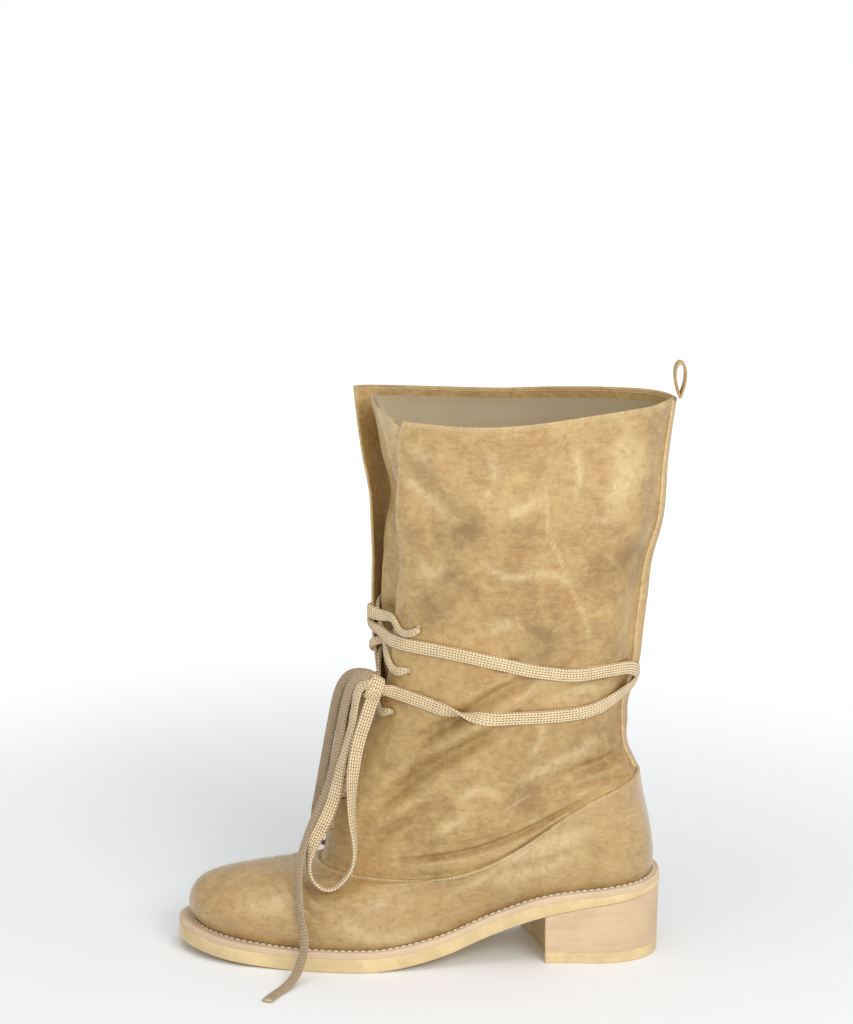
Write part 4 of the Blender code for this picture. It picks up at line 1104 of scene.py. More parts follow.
def sole_outline(side, margin, count=320):
    """Plan of one side of the upper's foot, moved outwards by margins at heel, sides and toe."""
    points = half_rings(np.array([float(FEATHER)]), side, count)[0, :, :2]
    run = np.gradient(points, axis=0)
    outward = np.stack([-run[:, 1], run[:, 0]], axis=1) * side
    outward[[0, -1]] = (-1, 0), (1, 0)
    share = np.linspace(0, 1, len(points))
    return points + unit(outward) * np.interp(share, (0, 0.35, 0.65, 1), margin)[:, None]


def even_loop(loop, count):
    """A closed line read at evenly spaced places."""
    closed = np.concatenate([loop, loop[:1]])
    far = distances(closed)
    at = np.linspace(0, far[-1], count, endpoint=False)
    return np.stack([np.interp(at, far, closed[:, k]) for k in range(2)], axis=1)


def sole_loop(margin, count=360):
    """Whole outline of a sole layer, from the heel's back round the inner side and back by the outer."""
    outer, inner = sole_outline(1, margin), sole_outline(-1, margin)
    return even_loop(np.concatenate([inner, outer[-2:0:-1]]), count)


def breast(share):
    """Front line of the heel from its outer (0) to its inner (1) corner, slanted and cupped."""
    return BREAST_OUTER + (BREAST_INNER - BREAST_OUTER) * share - 4 * BREAST_HOLLOW * share * (1 - share)


def heel_loop(margin, count=220):
    """Outline of the heel: the sole's outline behind the breast, and the breast's own line."""
    sides = []
    for side, stop in ((-1, BREAST_INNER), (1, BREAST_OUTER)):
        line = sole_outline(side, margin)
        kept = line[line[:, 0] < stop]
        end_y = np.interp(stop, line[:, 0], line[:, 1])
        sides.append(np.concatenate([kept, [(stop, end_y)]]))
    inner, outer = sides
    share = np.linspace(1, 0, 26)[1:-1]
    across = np.stack([breast(share), inner[-1, 1] * share + outer[-1, 1] * (1 - share)], axis=1)
    return even_loop(np.concatenate([inner, across, outer[::-1][:-1]]), count)


def slab(loop, low, high, radii, spine, low_loop=None, bulge=0.0):
    """Closed slab over an outline between two heights, its lower and upper edges rounded by two radii.

    Rings run from the spine of the bottom out to its edge, up the side and back to the spine on top;
    the spine is the part of the middle line that outline points are drawn towards.
    """
    low_loop = loop if low_loop is None else low_loop
    turn = np.linspace(0, math.pi / 2, 5)
    shares = (0.0, 0.3, 0.6, 0.85, 0.95)
    rings = [flat_ring(low_loop, spine, share, radii[0], low, 0.0) for share in shares]
    for inset, rise in zip(1 - np.sin(turn), 1 - np.cos(turn)):
        rings.append(flat_ring(low_loop, spine, 1.0, radii[0] * inset, low, radii[0] * rise))
    for share in np.linspace(0, 1, 7)[1:-1]:
        side = low_loop + (loop - low_loop) * share
        bottom, top = low(side[:, 0]) + radii[0], high(side[:, 0]) - radii[1]
        out = -bulge * 4 * share * (1 - share)
        flat = flat_ring(side, spine, 1.0, out, low, 0.0)
        flat[:, 2] = bottom + (top - bottom) * share
        rings.append(flat)
    for inset, rise in zip(1 - np.sin(turn[::-1]), 1 - np.cos(turn[::-1])):
        rings.append(flat_ring(loop, spine, 1.0, radii[1] * inset, high, -radii[1] * rise))
    rings += [flat_ring(loop, spine, share, radii[1], high, 0.0) for share in shares[::-1]]
    grid = np.stack(rings)
    return grid.reshape(-1, 3), cells(numbered(*grid.shape[:2]))


def flat_ring(loop, spine, share, inset, height, lift):
    """An outline drawn to a share of the way from its spine, set in by a distance, at a height."""
    middle = np.stack([np.clip(loop[:, 0], *spine), np.zeros(len(loop))], axis=1)
    arm = loop - middle
    reach = np.linalg.norm(arm, axis=1, keepdims=True)
    place = middle + arm * share * np.maximum(0, 1 - inset / reach)
    return np.concatenate([place, (height(place[:, 0]) + lift)[:, None]], axis=1)


def level_at(height):
    """A flat height, for a slab."""
    return lambda x: np.full_like(x, height)


SOLE_SPINE = (45.0, 215.0)
HEEL_SPINE = (38.0, 42.0)
HAIR = 0.02                 # keeps layers that lie on one another apart


class BOOT_OT_sole(bpy.types.Operator):
    """Outsole, welt, stacked heel and top piece with rounded edges"""

    bl_idname = "boot.sole"
    bl_label = "Sole"

    def execute(self, context):
        colours = context.scene.boot_colours
        edge = np.array([MARGIN_HEEL, MARGIN_SIDE, MARGIN_SIDE, MARGIN_TOE]) + GALOSH_STEP
        crepe = crepe_of(colours)
        loop = sole_loop(edge)
        shape = slab(loop, sole_bottom, welt_bottom, (1.0, 0.25), SOLE_SPINE, bulge=0.2)
        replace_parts(piece("outsole_crepe", *shape, [crepe], "crepe"), "outsole")
        welt = finish("welt_leather", plain_leather, colours.welt, shaded(colours.welt, 0.86), 0.6)
        shape = slab(loop, lambda x: welt_bottom(x) + HAIR, welt_top, (0.25, 0.9), SOLE_SPINE)
        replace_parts(piece("welt_strip", *shape, [welt], "welt"), "welt")
        stack = finish("stacked_leather", stacked_leather, colours.stack, shaded(colours.stack, 0.82))
        upper_loop = heel_loop(edge - HEEL_SET_BACK)
        foot_loop = heel_loop(edge - HEEL_SET_BACK - HEEL_INSET)
        low = level_at(TOP_PIECE_THICK + HAIR)
        shape = slab(upper_loop, low, lambda x: sole_bottom(x) - HAIR, (0.2, 0.2), HEEL_SPINE, foot_loop)
        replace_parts(piece("heel_stack", *shape, [stack], "stack"), "heel_block")
        shape = slab(foot_loop, level_at(0.0), level_at(TOP_PIECE_THICK), (0.6, 0.2), HEEL_SPINE)
        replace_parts(piece("heel_tip", *shape, [crepe], "crepe"), "heel_top_piece")
        return {"FINISHED"}


class BOOT_OT_insole(bpy.types.Operator):
    """Insole inside the upper"""

    bl_idname = "boot.insole"
    bl_label = "Insole"

    def execute(self, context):
        loop = sole_loop(np.full(4, -WALL - INSOLE_CLEARANCE))
        shape = slab(loop, insole_bottom, lambda x: insole_bottom(x) + INSOLE_THICK, (0.8, 0.8), SOLE_SPINE)
        made = piece("insole_sock", *shape, [lining_of(context.scene.boot_colours)], "lining")
        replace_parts(made, "insole")
        return {"FINISHED"}


# Upper.

EDGE_SHARES = np.array([0.0, 0.0012, 0.003, 0.006, 0.010])
RIM_LEVELS = np.array([0.045, 0.03, 0.018, 0.009, 0.003, 0.0])
GALOSH_RIM_LEVELS = np.array([0.09, 0.06, 0.035, 0.015, 0.0])
SHAFT_FOOT = SEAM - 0.35    # the level where the shaft ends under the galosh
FOLDED_TO = 10.5            # the level up to which the folds are close
COLLAR_SPAN = 33.0          # millimetres of shaft for one level below the collar
FLAP_SPAN = 200.0           # millimetres from the back to a flap's edge
TONGUE_SPAN = 25.0          # and from the tongue's middle to its edge
LAID = 0.05                 # between the shaft and the galosh laid on it
STRIP_LAID = 0.06           # and the back strip
# The flaps have leather inside too, beyond a share of the way round that grows between two levels.
FACED_LEVEL = (14.0, 15.9)
FACED_SHARE = (0.8, 0.935)
# The shaft's foot is drawn in under the galosh, in mm, over this many levels below the seam.
TUCK = 1.3
TUCK_LEVELS = 0.15


class BOOT_OT_shaft(bpy.types.Operator):
    """Shaft with its folds, collar rim and lining"""

    bl_idname = "boot.shaft"
    bl_label = "Shaft"

    def execute(self, context):
        colours = context.scene.boot_colours
        folds = np.linspace(SHAFT_FOOT, FOLDED_TO, 106)
        above = np.linspace(FOLDED_TO + 0.08, COLLAR - 0.06, 46)
        levels = np.concatenate([folds, above, COLLAR - RIM_LEVELS])
        side = np.concatenate([1 - EDGE_SHARES, np.linspace(0.985, 0, 134)])
        shares = np.concatenate([side, -side[-2::-1]])
        grid, normal, moved = leather_grid(levels, shares)
        full = rounded((COLLAR - levels) * COLLAR_SPAN, WALL / 2)[:, None]
        full = full * rounded((1 - np.abs(shares)) * FLAP_SPAN, WALL / 2)
        tucked = TUCK * ease(levels, SEAM, SEAM - TUCK_LEVELS)[:, None, None]
        middle = grid - normal * (WALL / 2 + tucked)
        outside = middle + normal * (full * WALL / 2)[..., None]
        facing = FACING_STEP * ease(levels, COLLAR - FACING_LEVELS - 0.03, COLLAR - FACING_LEVELS)[:, None]
        inside = middle - normal * (full * (WALL / 2 + facing))[..., None]
        points, quads = sheet(outside, inside)
        spread = np.broadcast_to(shares, grid.shape[:2])
        # Pale scuffs and veins with one painted highlight, then the worn edges of the flaps and the
        # collar's rim.
        worn = np.maximum(marked(grid, spread, PALE_MARKS), marked(grid, spread, PALE_MARKS[::2], -1))
        edge = np.exp(-((1 - np.abs(shares)) * FLAP_SPAN / 2.2)) * 0.5
        rim = np.exp(-(COLLAR - levels) * COLLAR_SPAN / 1.2)[:, None] * 0.45
        worn = np.maximum(worn, np.maximum(edge, rim))
        # Painted highlight: a little paler on the ridges of the folds.
        worn = np.clip(worn + 0.05 * np.clip(moved, 0, 2), 0, 1)
        wax = np.maximum(marked(grid, spread, DARK_MARKS), marked(grid, spread, DARK_MARKS, -1))
        # Painted shade: darker in the troughs of the folds; the dark marks above are waxed patches.
        wax = np.clip(wax + 0.07 * np.clip(-moved, 0, 3), 0, 1)
        values = on_outside(worn=worn, wax=wax)
        faced = (levels[:-1] > COLLAR - FACING_LEVELS - 0.02)[:, None]
        faced = faced | (np.abs(shares[:-1]) > steady(FACED_LEVEL, FACED_SHARE, levels[:-1])[:, None])
        second = lined(quads, (levels.size - 1) * (shares.size - 1), ~faced.ravel())
        materials = [leather_of(colours), lining_of(colours)]
        made = piece("shaft_leather", points, quads, materials, "leather", values=values, second=second)
        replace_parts(made, "upper")
        return {"FINISHED"}


class BOOT_OT_galosh(bpy.types.Operator):
    """Galosh: the glossier band of vamp and counter over the shaft's foot"""

    bl_idname = "boot.galosh"
    bl_label = "Galosh"

    def execute(self, context):
        colours = context.scene.boot_colours
        levels = np.concatenate([np.linspace(FEATHER, SEAM - 0.12, 104), SEAM - GALOSH_RIM_LEVELS])
        shares = np.linspace(1, -1, 380, endpoint=False)
        grid, normal, moved = leather_grid(levels, shares, ring=True)
        risen = distances(grid.transpose(1, 0, 2)).T
        span = risen[-1:] - risen
        full = rounded(span, 0.8)
        inside = grid + normal * LAID
        outside = inside + normal * (full * GALOSH_STEP)[..., None]
        for rim in (outside[0], inside[0]):
            rim[:, 2] = welt_top(rim[:, 0]) + LAID
        points, quads = sheet(outside, inside, ring=True)
        spread = np.broadcast_to(shares, grid.shape[:2])
        # Pale scuffs, with painted sheen along the galosh's side below the seam.
        worn = np.maximum(marked(grid, spread, GALOSH_SCUFFS_AND_SHEEN), marked(grid, spread, GALOSH_SCUFFS_AND_SHEEN, -1))
        worn = np.maximum(worn, 0.45 * np.exp(-span / 0.7))
        # Painted shade: darker at the galosh's foot by the welt and in the vamp's creases.
        wax = np.clip(0.5 * bell(risen, 5.0) - 0.5 * moved, 0, 1)
        values = on_outside(worn=worn, wax=wax)
        leather = finish("polished_leather", waxed_leather, colours, *GALOSH_WAX)
        hidden = lined(quads, (levels.size - 1) * shares.size)
        materials = [leather, lining_of(colours)]
        piece("galosh_leather", points, quads, materials, "leather", values=values, second=hidden)
        return {"FINISHED"}


class BOOT_OT_tongue(bpy.types.Operator):
    """Bellows tongue sunk behind the throat"""

    bl_idname = "boot.tongue"
    bl_label = "Tongue"

    def execute(self, context):
        levels = np.linspace(TONGUE_FOOT, TONGUE_TOP, 130)
        shares = np.linspace(-1, 1, 61)
        s = sections_at(levels)
        share = steady(TONGUE_LEAN_LEVEL, TONGUE_LEAN, levels)
        inner, outer = half_rings(levels, -1, share=share), half_rings(levels, 1, share=share)
        half = inner.shape[1] // 2
        lines = np.concatenate([inner[:, half:], outer[:, -2:half:-1]], axis=1)
        grid = np.empty((len(levels), len(shares), 3))
        for row, line in enumerate(lines):
            marks = s.throat[row] + s.gap[row] * np.array([-1, 0, 1])
            reach = np.interp(marks, line[:, 1], distances(line)) + TONGUE_UNDERLAP * np.array([-1, 0, 1])
            grid[row] = along(line, np.interp(shares, (-1, 0, 1), reach))
        normal = grid_normals(grid)
        middle_share = np.cos(shares * math.pi / 2) ** 2
        sunk = steady(TONGUE_LEVEL, TONGUE_SUNK, levels)[:, None] * middle_share
        beside = shares - np.interp(levels, VALLEY_LEVEL, VALLEY_SHARE)[:, None]
        valley = 2.0 * bell(beside, 0.1) - 0.9 * bell(beside + 0.22, 0.12)
        sunk = sunk + valley * ease(levels, 14.0, 15.2)[:, None] * middle_share ** 0.5
        sunk = sunk + RIPPLE * np.sin(levels * RIPPLE_RATE)[:, None] * middle_share
        sink = WALL + FACING_STEP + TONGUE_CLEARANCE + np.maximum(sunk, TONGUE_SUNK[-1])
        top_edge = rounded((TONGUE_TOP - levels) * COLLAR_SPAN, TONGUE_THICK / 2)[:, None]
        edge = rounded((1 - np.abs(shares)) * TONGUE_SPAN, TONGUE_THICK / 2) * top_edge
        middle = grid - normal * (sink + TONGUE_THICK / 2)[..., None]
        cut = CUT_INNER * ease(-shares, 0.5, 0.9) + CUT_OUTER * ease(shares, 0.35, 0.7)
        middle[..., 2] -= cut * ease(levels, 14.6, TONGUE_TOP)[:, None]
        thick = normal * (edge * TONGUE_THICK / 2)[..., None]
        points, quads = sheet(middle + thick, middle - thick)
        hidden = lined(quads, (levels.size - 1) * (shares.size - 1))
        worn = np.broadcast_to(0.15 + 0.3 * ease(levels, 14.5, 16.0)[:, None], grid.shape[:2]).ravel()
        colours = context.scene.boot_colours
        made = piece(
            "tongue_leather", points, quads, [leather_of(colours), lining_of(colours)], "leather",
            values={"worn": np.concatenate([worn, worn])}, second=hidden,
        )
        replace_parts(made, "tongue")
        return {"FINISHED"}


class BOOT_OT_back_strip(bpy.types.Operator):
    """Strap over the back seam"""

    bl_idname = "boot.back_strip"
    bl_label = "Back strip"

    def execute(self, context):
        levels = np.linspace(STRIP_FOOT, STRIP_TOP, 170)
        across = BACK_STRIP_HALF * np.sin(np.linspace(1, -1, 25) * math.pi / 2)
        grid, normal = strip_grid(levels, across)
        edge = rounded(BACK_STRIP_HALF - np.abs(across), BACK_STRIP_THICK / 2)
        inside = grid + normal * STRIP_LAID
        points, quads = sheet(inside + normal * (edge * BACK_STRIP_THICK)[:, None], inside)
        worn = 0.9 * np.exp(-(BACK_STRIP_HALF - np.abs(across)) / 0.5)
        worn = np.broadcast_to(worn, grid.shape[:2]).ravel()
        made = piece(
            "back_strip_leather", points, quads, [leather_of(context.scene.boot_colours)], "leather",
            values={"worn": np.concatenate([worn, worn])},
        )
        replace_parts(made, "back_strip")
        return {"FINISHED"}


def strip_grid(levels, across):
    """Leather and its normals at distances in millimetres from the back seam, outer side first."""
    reach = np.stack([flap_lengths(levels, half_rings(levels, side), side) for side in (1, -1)], axis=1)
    shares = np.where(across >= 0, across / reach[:, :1], across / reach[:, 1:])
    return leather_grid(levels, shares)[:2]


class BOOT_OT_pull_loop(bpy.types.Operator):
    """Pull loop: a strap folded to a drop on the collar's back"""

    bl_idname = "boot.pull_loop"
    bl_label = "Pull loop"

    def execute(self, context):
        turn = np.linspace(0.06, 2 * math.pi - 0.06, 90)
        foot = upper_grid([COLLAR], np.array([[0.0]]))[0, 0] + LOOP_FOOT
        drop = np.sin(turn) * np.sin(turn / 2)
        wide = LOOP_DEPTH - LOOP_THICK
        rise = LOOP_THICK / 2 + (1 - np.cos(turn)) / 2 * (LOOP_HEIGHT - LOOP_THICK)
        path = np.stack([drop / np.ptp(drop) * wide, 0 * turn, rise], axis=1)
        outward = np.cross(np.gradient(path, axis=0), (0, 1, 0))
        points, quads, ends, _ = ribbon(foot + path, outward, LOOP_WIDTH, LOOP_THICK)
        worn = {"worn": np.full(len(points), 0.15)}
        leather = leather_of(context.scene.boot_colours)
        made = piece("pull_loop_leather", points, quads, [leather], "leather", ends, worn)
        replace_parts(made, "pull_loop")
        return {"FINISHED"}


# Stitches.

SEAM_INSET = 1.5            # millimetres from the galosh's edge to its stitches
COLLAR_INSET = 2.0          # and from the collar's rim
STRIP_INSET = 1.5           # and from the back strip's edges
THREAD_LIFT = 0.12          # of a thread's middle above the leather
SEAM_POINTS = 700           # of a path round the boot
WELT_INSETS = np.array([1.3, 1.3, 1.3, 1.6])      # of the welt's stitches, as the sole's margins


def capsules(starts, stops, normals, thick):
    """Small threads between pairs of points: a six-sided spindle swollen in the middle, slightly sunk."""
    along_way = np.array([-0.5, -0.32, 0.0, 0.32, 0.5])
    swell = np.array([0.35, 0.9, 1.0, 0.9, 0.35])
    angle = np.linspace(0, 2 * math.pi, 6, endpoint=False)
    run = stops - starts
    side = unit(np.cross(normals, run))
    middle = (starts + stops) / 2
    centre = middle[:, None, :] + run[:, None, :] * along_way[:, None]
    ring_side = side[:, None, None, :] * (np.cos(angle) * swell[:, None])[None, :, :, None]
    ring_up = normals[:, None, None, :] * (np.sin(angle) * swell[:, None])[None, :, :, None]
    return spindles(centre[:, :, None, :] + (ring_side + ring_up) * thick / 2)


def sewn(path, normals, stitch, gap, thick):
    """Threads along a path: stitches of one length with gaps, on the path's own normals."""
    far = distances(path)
    count = int(far[-1] // (stitch + gap))
    start = (np.arange(count) + 0.5) * far[-1] / count - stitch / 2

    def read(values, at):
        """Values of the path's points at lengths along it."""
        return np.stack([np.interp(at, far, values[:, k]) for k in range(3)], axis=1)

    up = unit(read(normals, start + stitch / 2))
    return capsules(read(path, start), read(path, start + stitch), up, thick)


class BOOT_OT_stitches(bpy.types.Operator):
    """Threads of the galosh seam, the collar, the back strip and the welt"""

    bl_idname = "boot.stitches"
    bl_label = "Stitches"

    def execute(self, context):
        colours, sizes = context.scene.boot_colours, context.scene.boot_sizes
        stitch, gap = millimetres(sizes.stitch), millimetres(sizes.stitch_gap)
        fine, fine_gap = millimetres(sizes.fine_stitch), millimetres(sizes.fine_gap)
        sewing = finish("sewing_thread", thread, colours.sewing)
        shares = np.linspace(0.999, -0.999, SEAM_POINTS)
        top, below = (leather_at(np.full(SEAM_POINTS, SEAM - down), shares)[0] for down in (0.0, 0.2))
        down = 0.2 * SEAM_INSET / np.linalg.norm(top - below, axis=1)
        points, normals = leather_at(SEAM - down, shares)
        rows = [sewn(points + normals * (GALOSH_STEP + THREAD_LIFT), normals, stitch, gap, 0.6)]
        for lift in (0.1, -WALL - FACING_STEP - 0.1):
            level = COLLAR - COLLAR_INSET / COLLAR_SPAN
            points, normals = leather_at(np.full(SEAM_POINTS, level), shares)
            rows.append(sewn(points + normals * lift, normals, fine, fine_gap, 0.55))
        levels = np.linspace(STRIP_FOOT + 0.1, STRIP_TOP - 0.06, 500)
        for reach in (1, -1):
            across = np.array([0.6, 0.0, -0.6]) + reach * (BACK_STRIP_HALF - STRIP_INSET)
            grid, normal = strip_grid(levels, across)
            lift = normal[:, 1] * (BACK_STRIP_THICK + THREAD_LIFT)
            rows.append(sewn(grid[:, 1] + lift, normal[:, 1], fine, fine_gap, 0.5))
        points, quads, ends = joined(rows)
        piece("seam_threads", points, quads, [sewing], "leather", ends)
        loop = sole_loop(WELT_INSETS + GALOSH_STEP, SEAM_POINTS)
        path = np.concatenate([loop, welt_top(loop[:, :1]) + 0.2], axis=1)
        up = np.broadcast_to((0.0, 0.0, 1.0), path.shape)
        stitch, gap = millimetres(sizes.welt_stitch), millimetres(sizes.welt_gap)
        points, quads, ends = sewn(path, up, stitch, gap, 1.2)
        sewing = finish("welt_thread", thread, colours.welt_sewing)
        piece("welt_threads", points, quads, [sewing], "leather", ends)
        return {"FINISHED"}


# Lace.

HOLE_SHARE = 0.012          # how far a lace runs on past its hole, as a share of the way round
HOLE_DEPTH = 2.5            # and how deep it goes into the leather there
FLAP_EDGE = 0.985           # the share where a lace leaves its flap for the throat
FLAP_LIFT = 0.1             # of a bar above the leather
TURN_LIFT = 0.15            # of a turn round the ankle above it
BAR_WIDTH = 0.66            # of a bar pulled thin, as a share of the lace's width
FOOT_BAR_WIDTH = 0.8        # of the lowest bar


def laid_path(shares, levels, lifts):
    """A smooth path over places of the leather at heights above it, and the leather's normals along it."""
    points, normals = leather_at(levels, shares)
    return smooth_path(points + normals * np.asarray(lifts, float)[:, None], normals)


def smooth_path(points, normals):
    """A smooth curve through points, with the normals given at them carried along it."""
    path = smooth_line(points, LACE_STEP)
    way = distances(points) / distances(points)[-1]
    return path, unit(spline(way, normals, np.linspace(0, 1, len(path))))


def taut(points, reach=4):
    """A line of points drawn straighter: each becomes a weighted mean of its neighbours within reach."""
    weights = np.hanning(2 * reach + 3)[1:-1]
    before, after = 2 * points[:1] - points[reach:0:-1], 2 * points[-1:] - points[-2:-reach - 2:-1]
    padded = np.concatenate([before, points, after])
    return np.stack([np.convolve(column, weights / weights.sum(), "valid") for column in padded.T], axis=1)


def wrap_path(side, lift):
    """One turn round the ankle: out of the far top eyelet, over the throat, round the back, to the knot.

    The turn that ends on the outer side flips over once: its facing goes half round its own run while
    it rises in a low hump.
    """
    table = np.array(WRAP[::-1])
    shares = np.linspace(table[-1, 0], OUTER_STOP if side < 0 else table[0, 0], 110)
    levels = spline(table[:, 0], table[:, 1], shares)
    if side < 0:
        levels = levels + START_RISE * ease(shares, *START_SHARES)
    flip = -(shares + TWIST_SHARE) / TWIST_HALF if side < 0 else np.full(len(shares), -9.0)
    over_strip = np.exp(-(shares / STRIP_SHARE) ** 6)
    lifts = lift + (GAP + BACK_STRIP_THICK) * over_strip + TWIST_HUMP * bell(flip, 1.0)
    hole_levels, hole_shares = eyelet_places(-side)
    top, start = hole_levels[-1], hole_shares[-1]
    way_out = np.array([start - 0.01 * side, start, (start - side) / 2, -side * FLAP_EDGE])
    if side < 0:
        down = top + np.array([0.0, -0.03, -0.15, 0.04])
    else:
        down = top + (WRAP[0].level - top) * np.array([0.0, 0.0, 0.4, 0.75])
    first, first_normals = leather_at(down, way_out)
    first = first + first_normals * np.array([-2.0, lift, lift, lift + 0.3])[:, None]
    lifts = lifts + BACK_HUMP * bell(shares, BACK_HUMP_SHARE)
    turn, turn_normals = leather_at(levels, side * shares)
    turn = taut(turn + turn_normals * lifts[:, None])
    end = np.array([KNOT.x - 2.5, KNOT.y - side * 2.0, KNOT.z])
    middle = (first[-1:] + turn[:1]) / 2
    middle_normal = unit(first_normals[-1:] + turn_normals[:1])
    points = np.concatenate([first, middle, turn, end[None]])
    normals = np.concatenate([first_normals, middle_normal, turn_normals, turn_normals[-1:]])
    way = distances(points) / distances(points)[-1]
    path, facing = smooth_path(points, normals)
    flipped = np.interp(np.linspace(0, 1, len(path)), way[len(first) + 1:-1], ease(flip, -1.2, 1.2))
    angle = math.pi * flipped[:, None]
    across = np.cross(unit(np.gradient(path, axis=0)), facing)
    return path, facing * np.cos(angle) + across * np.sin(angle)


def bar_path(side, low, high, lift, over):
    """A bar of the lacing: out of a hole, over its flap's edge, across the throat, under the other flap."""
    here_levels, here_shares = eyelet_places(side)
    there_levels, there_shares = eyelet_places(-side)
    here, there = here_shares[low], there_shares[high]
    start, stop = here_levels[low], there_levels[high]
    under = -WALL - 1.5
    rising = (here - side * HOLE_SHARE, here + side * 0.003, (here + side) / 2)
    shares = np.array([*rising, side * FLAP_EDGE, -side * 0.975, there])
    levels = np.array([start, start, start - 0.06, start + 0.02, stop - 0.12, stop])
    points, normals = leather_at(levels, shares)
    points = points + normals * np.array([-HOLE_DEPTH, lift, lift, lift + 0.2, under, under])[:, None]
    between = (points[3] * 0.55 + points[4] * 0.45) + unit(normals[3] + normals[4]) * over
    points = np.insert(points, 4, between, axis=0)
    normals = np.insert(normals, 4, unit(normals[3] + normals[4]), axis=0)
    return smooth_path(points, normals)


def dished(points, normals, radius, around=12):
    """Dark discs of painted shade in punched holes: rings of a shallow dish with a flat underside."""
    ring = np.array([0.8, 1.0, 0.7, 0.35, 0.05]) * radius
    lift = 0.06 + DENT_DEPTH * (1 - bell(ring, DENT_HALF)) - np.array([0.4, 0, 0, 0, 0])
    side = unit(np.cross(normals, (0.0, 0.0, 1.0)))
    up = np.cross(side, normals)
    angle = np.linspace(0, 2 * math.pi, around, endpoint=False)
    wheel = side[:, None] * np.cos(angle)[:, None] + up[:, None] * np.sin(angle)[:, None]
    rings = points[:, None, None] + wheel[:, None] * ring[:, None, None]
    return spindles(rings + normals[:, None, None] * lift[:, None, None])


def drawn_in(path, width, start, stop):
    """Width of a lace that is squeezed where it comes out of its hole, to its full width at stop."""
    return width * (0.55 + 0.45 * ease(distances(path), start, stop))


class BOOT_OT_lace(bpy.types.Operator):
    """Lace through the eyelets and round the ankle, and the punched holes"""

    bl_idname = "boot.lace"
    bl_label = "Lace"

    def execute(self, context):
        colours, sizes = context.scene.boot_colours, context.scene.boot_sizes
        width, thick = millimetres(sizes.lace_width), millimetres(sizes.lace_thick)
        runs = []
        for side, over in ((1, 0.4), (-1, -2.0)):
            for low in range(len(EYELETS) - 1):
                path, facing = bar_path(side, low, low + 1, thick / 2 + FLAP_LIFT, over)
                runs.append(ribbon(path, facing, drawn_in(path, width * BAR_WIDTH, 1.0, 9.0), thick))
            path, facing = wrap_path(side, thick / 2 + TURN_LIFT)
            runs.append(ribbon(path, facing, drawn_in(path, width, 18.0, 50.0), thick))
        outer, inner = (eyelet_places(side)[1][0] for side in (1, -1))
        shares = np.array([outer - HOLE_SHARE, outer, FLAP_EDGE, -FLAP_EDGE, inner, inner + HOLE_SHARE])
        laid = thick / 2 + FLAP_LIFT
        lifts = np.array([-HOLE_DEPTH, laid, 1.4, 1.4, laid, -HOLE_DEPTH])
        path, facing = laid_path(shares, np.full(len(shares), EYELETS[0].level), lifts)
        runs.append(ribbon(path, facing, width * FOOT_BAR_WIDTH, thick))
        points, quads, caps, corners = joined(runs)
        made = piece("lace_braid", points, quads, [lace_of(colours)], "lace", caps, corners=corners)
        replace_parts(made, "lace_crossings")
        places = [leather_at(*eyelet_places(side)) for side in (1, -1)]
        points, normals = (np.concatenate(rows) for rows in zip(*places))
        points, quads, ends = dished(points, normals, EYELET_RADIUS)
        # Near-black discs: painted shade inside the punched holes.
        hole_shade = finish("punched_hole", punched_hole, colours.hole)
        piece("eyelet_holes", points, quads, [hole_shade], "leather", ends)
        return {"FINISHED"}


def free_lace(name, route, facing, node, colours, sizes, tip, soil_and_shade):
    """A free stretch of flat lace along a route, narrowed to a share of its width at the tip."""
    width, thick = millimetres(sizes.lace_width), millimetres(sizes.lace_thick)
    path = smooth_line(route, LACE_STEP)
    path[:, 2] = np.maximum(path[:, 2], thick / 2 + 0.1)
    narrowed = width * (1 + (tip - 1) * ease(np.linspace(0, 1, len(path)), 0.45, 0.7))
    points, quads, ends, corners = ribbon(path, facing_along(facing, len(path)), narrowed, thick)
    points[:, 2] = np.maximum(points[:, 2], 0.05)
    # How much darker and redder the stretch is: soiling, and painted shade where it faces away from the
    # light.
    soil_and_shade_values = {"soil_and_shade": np.full(len(points), soil_and_shade)}
    made = piece(name, points, quads, [lace_of(colours)], "lace", ends, soil_and_shade_values, corners)
    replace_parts(made, node)
    return made, (path - ORIGIN) * MM


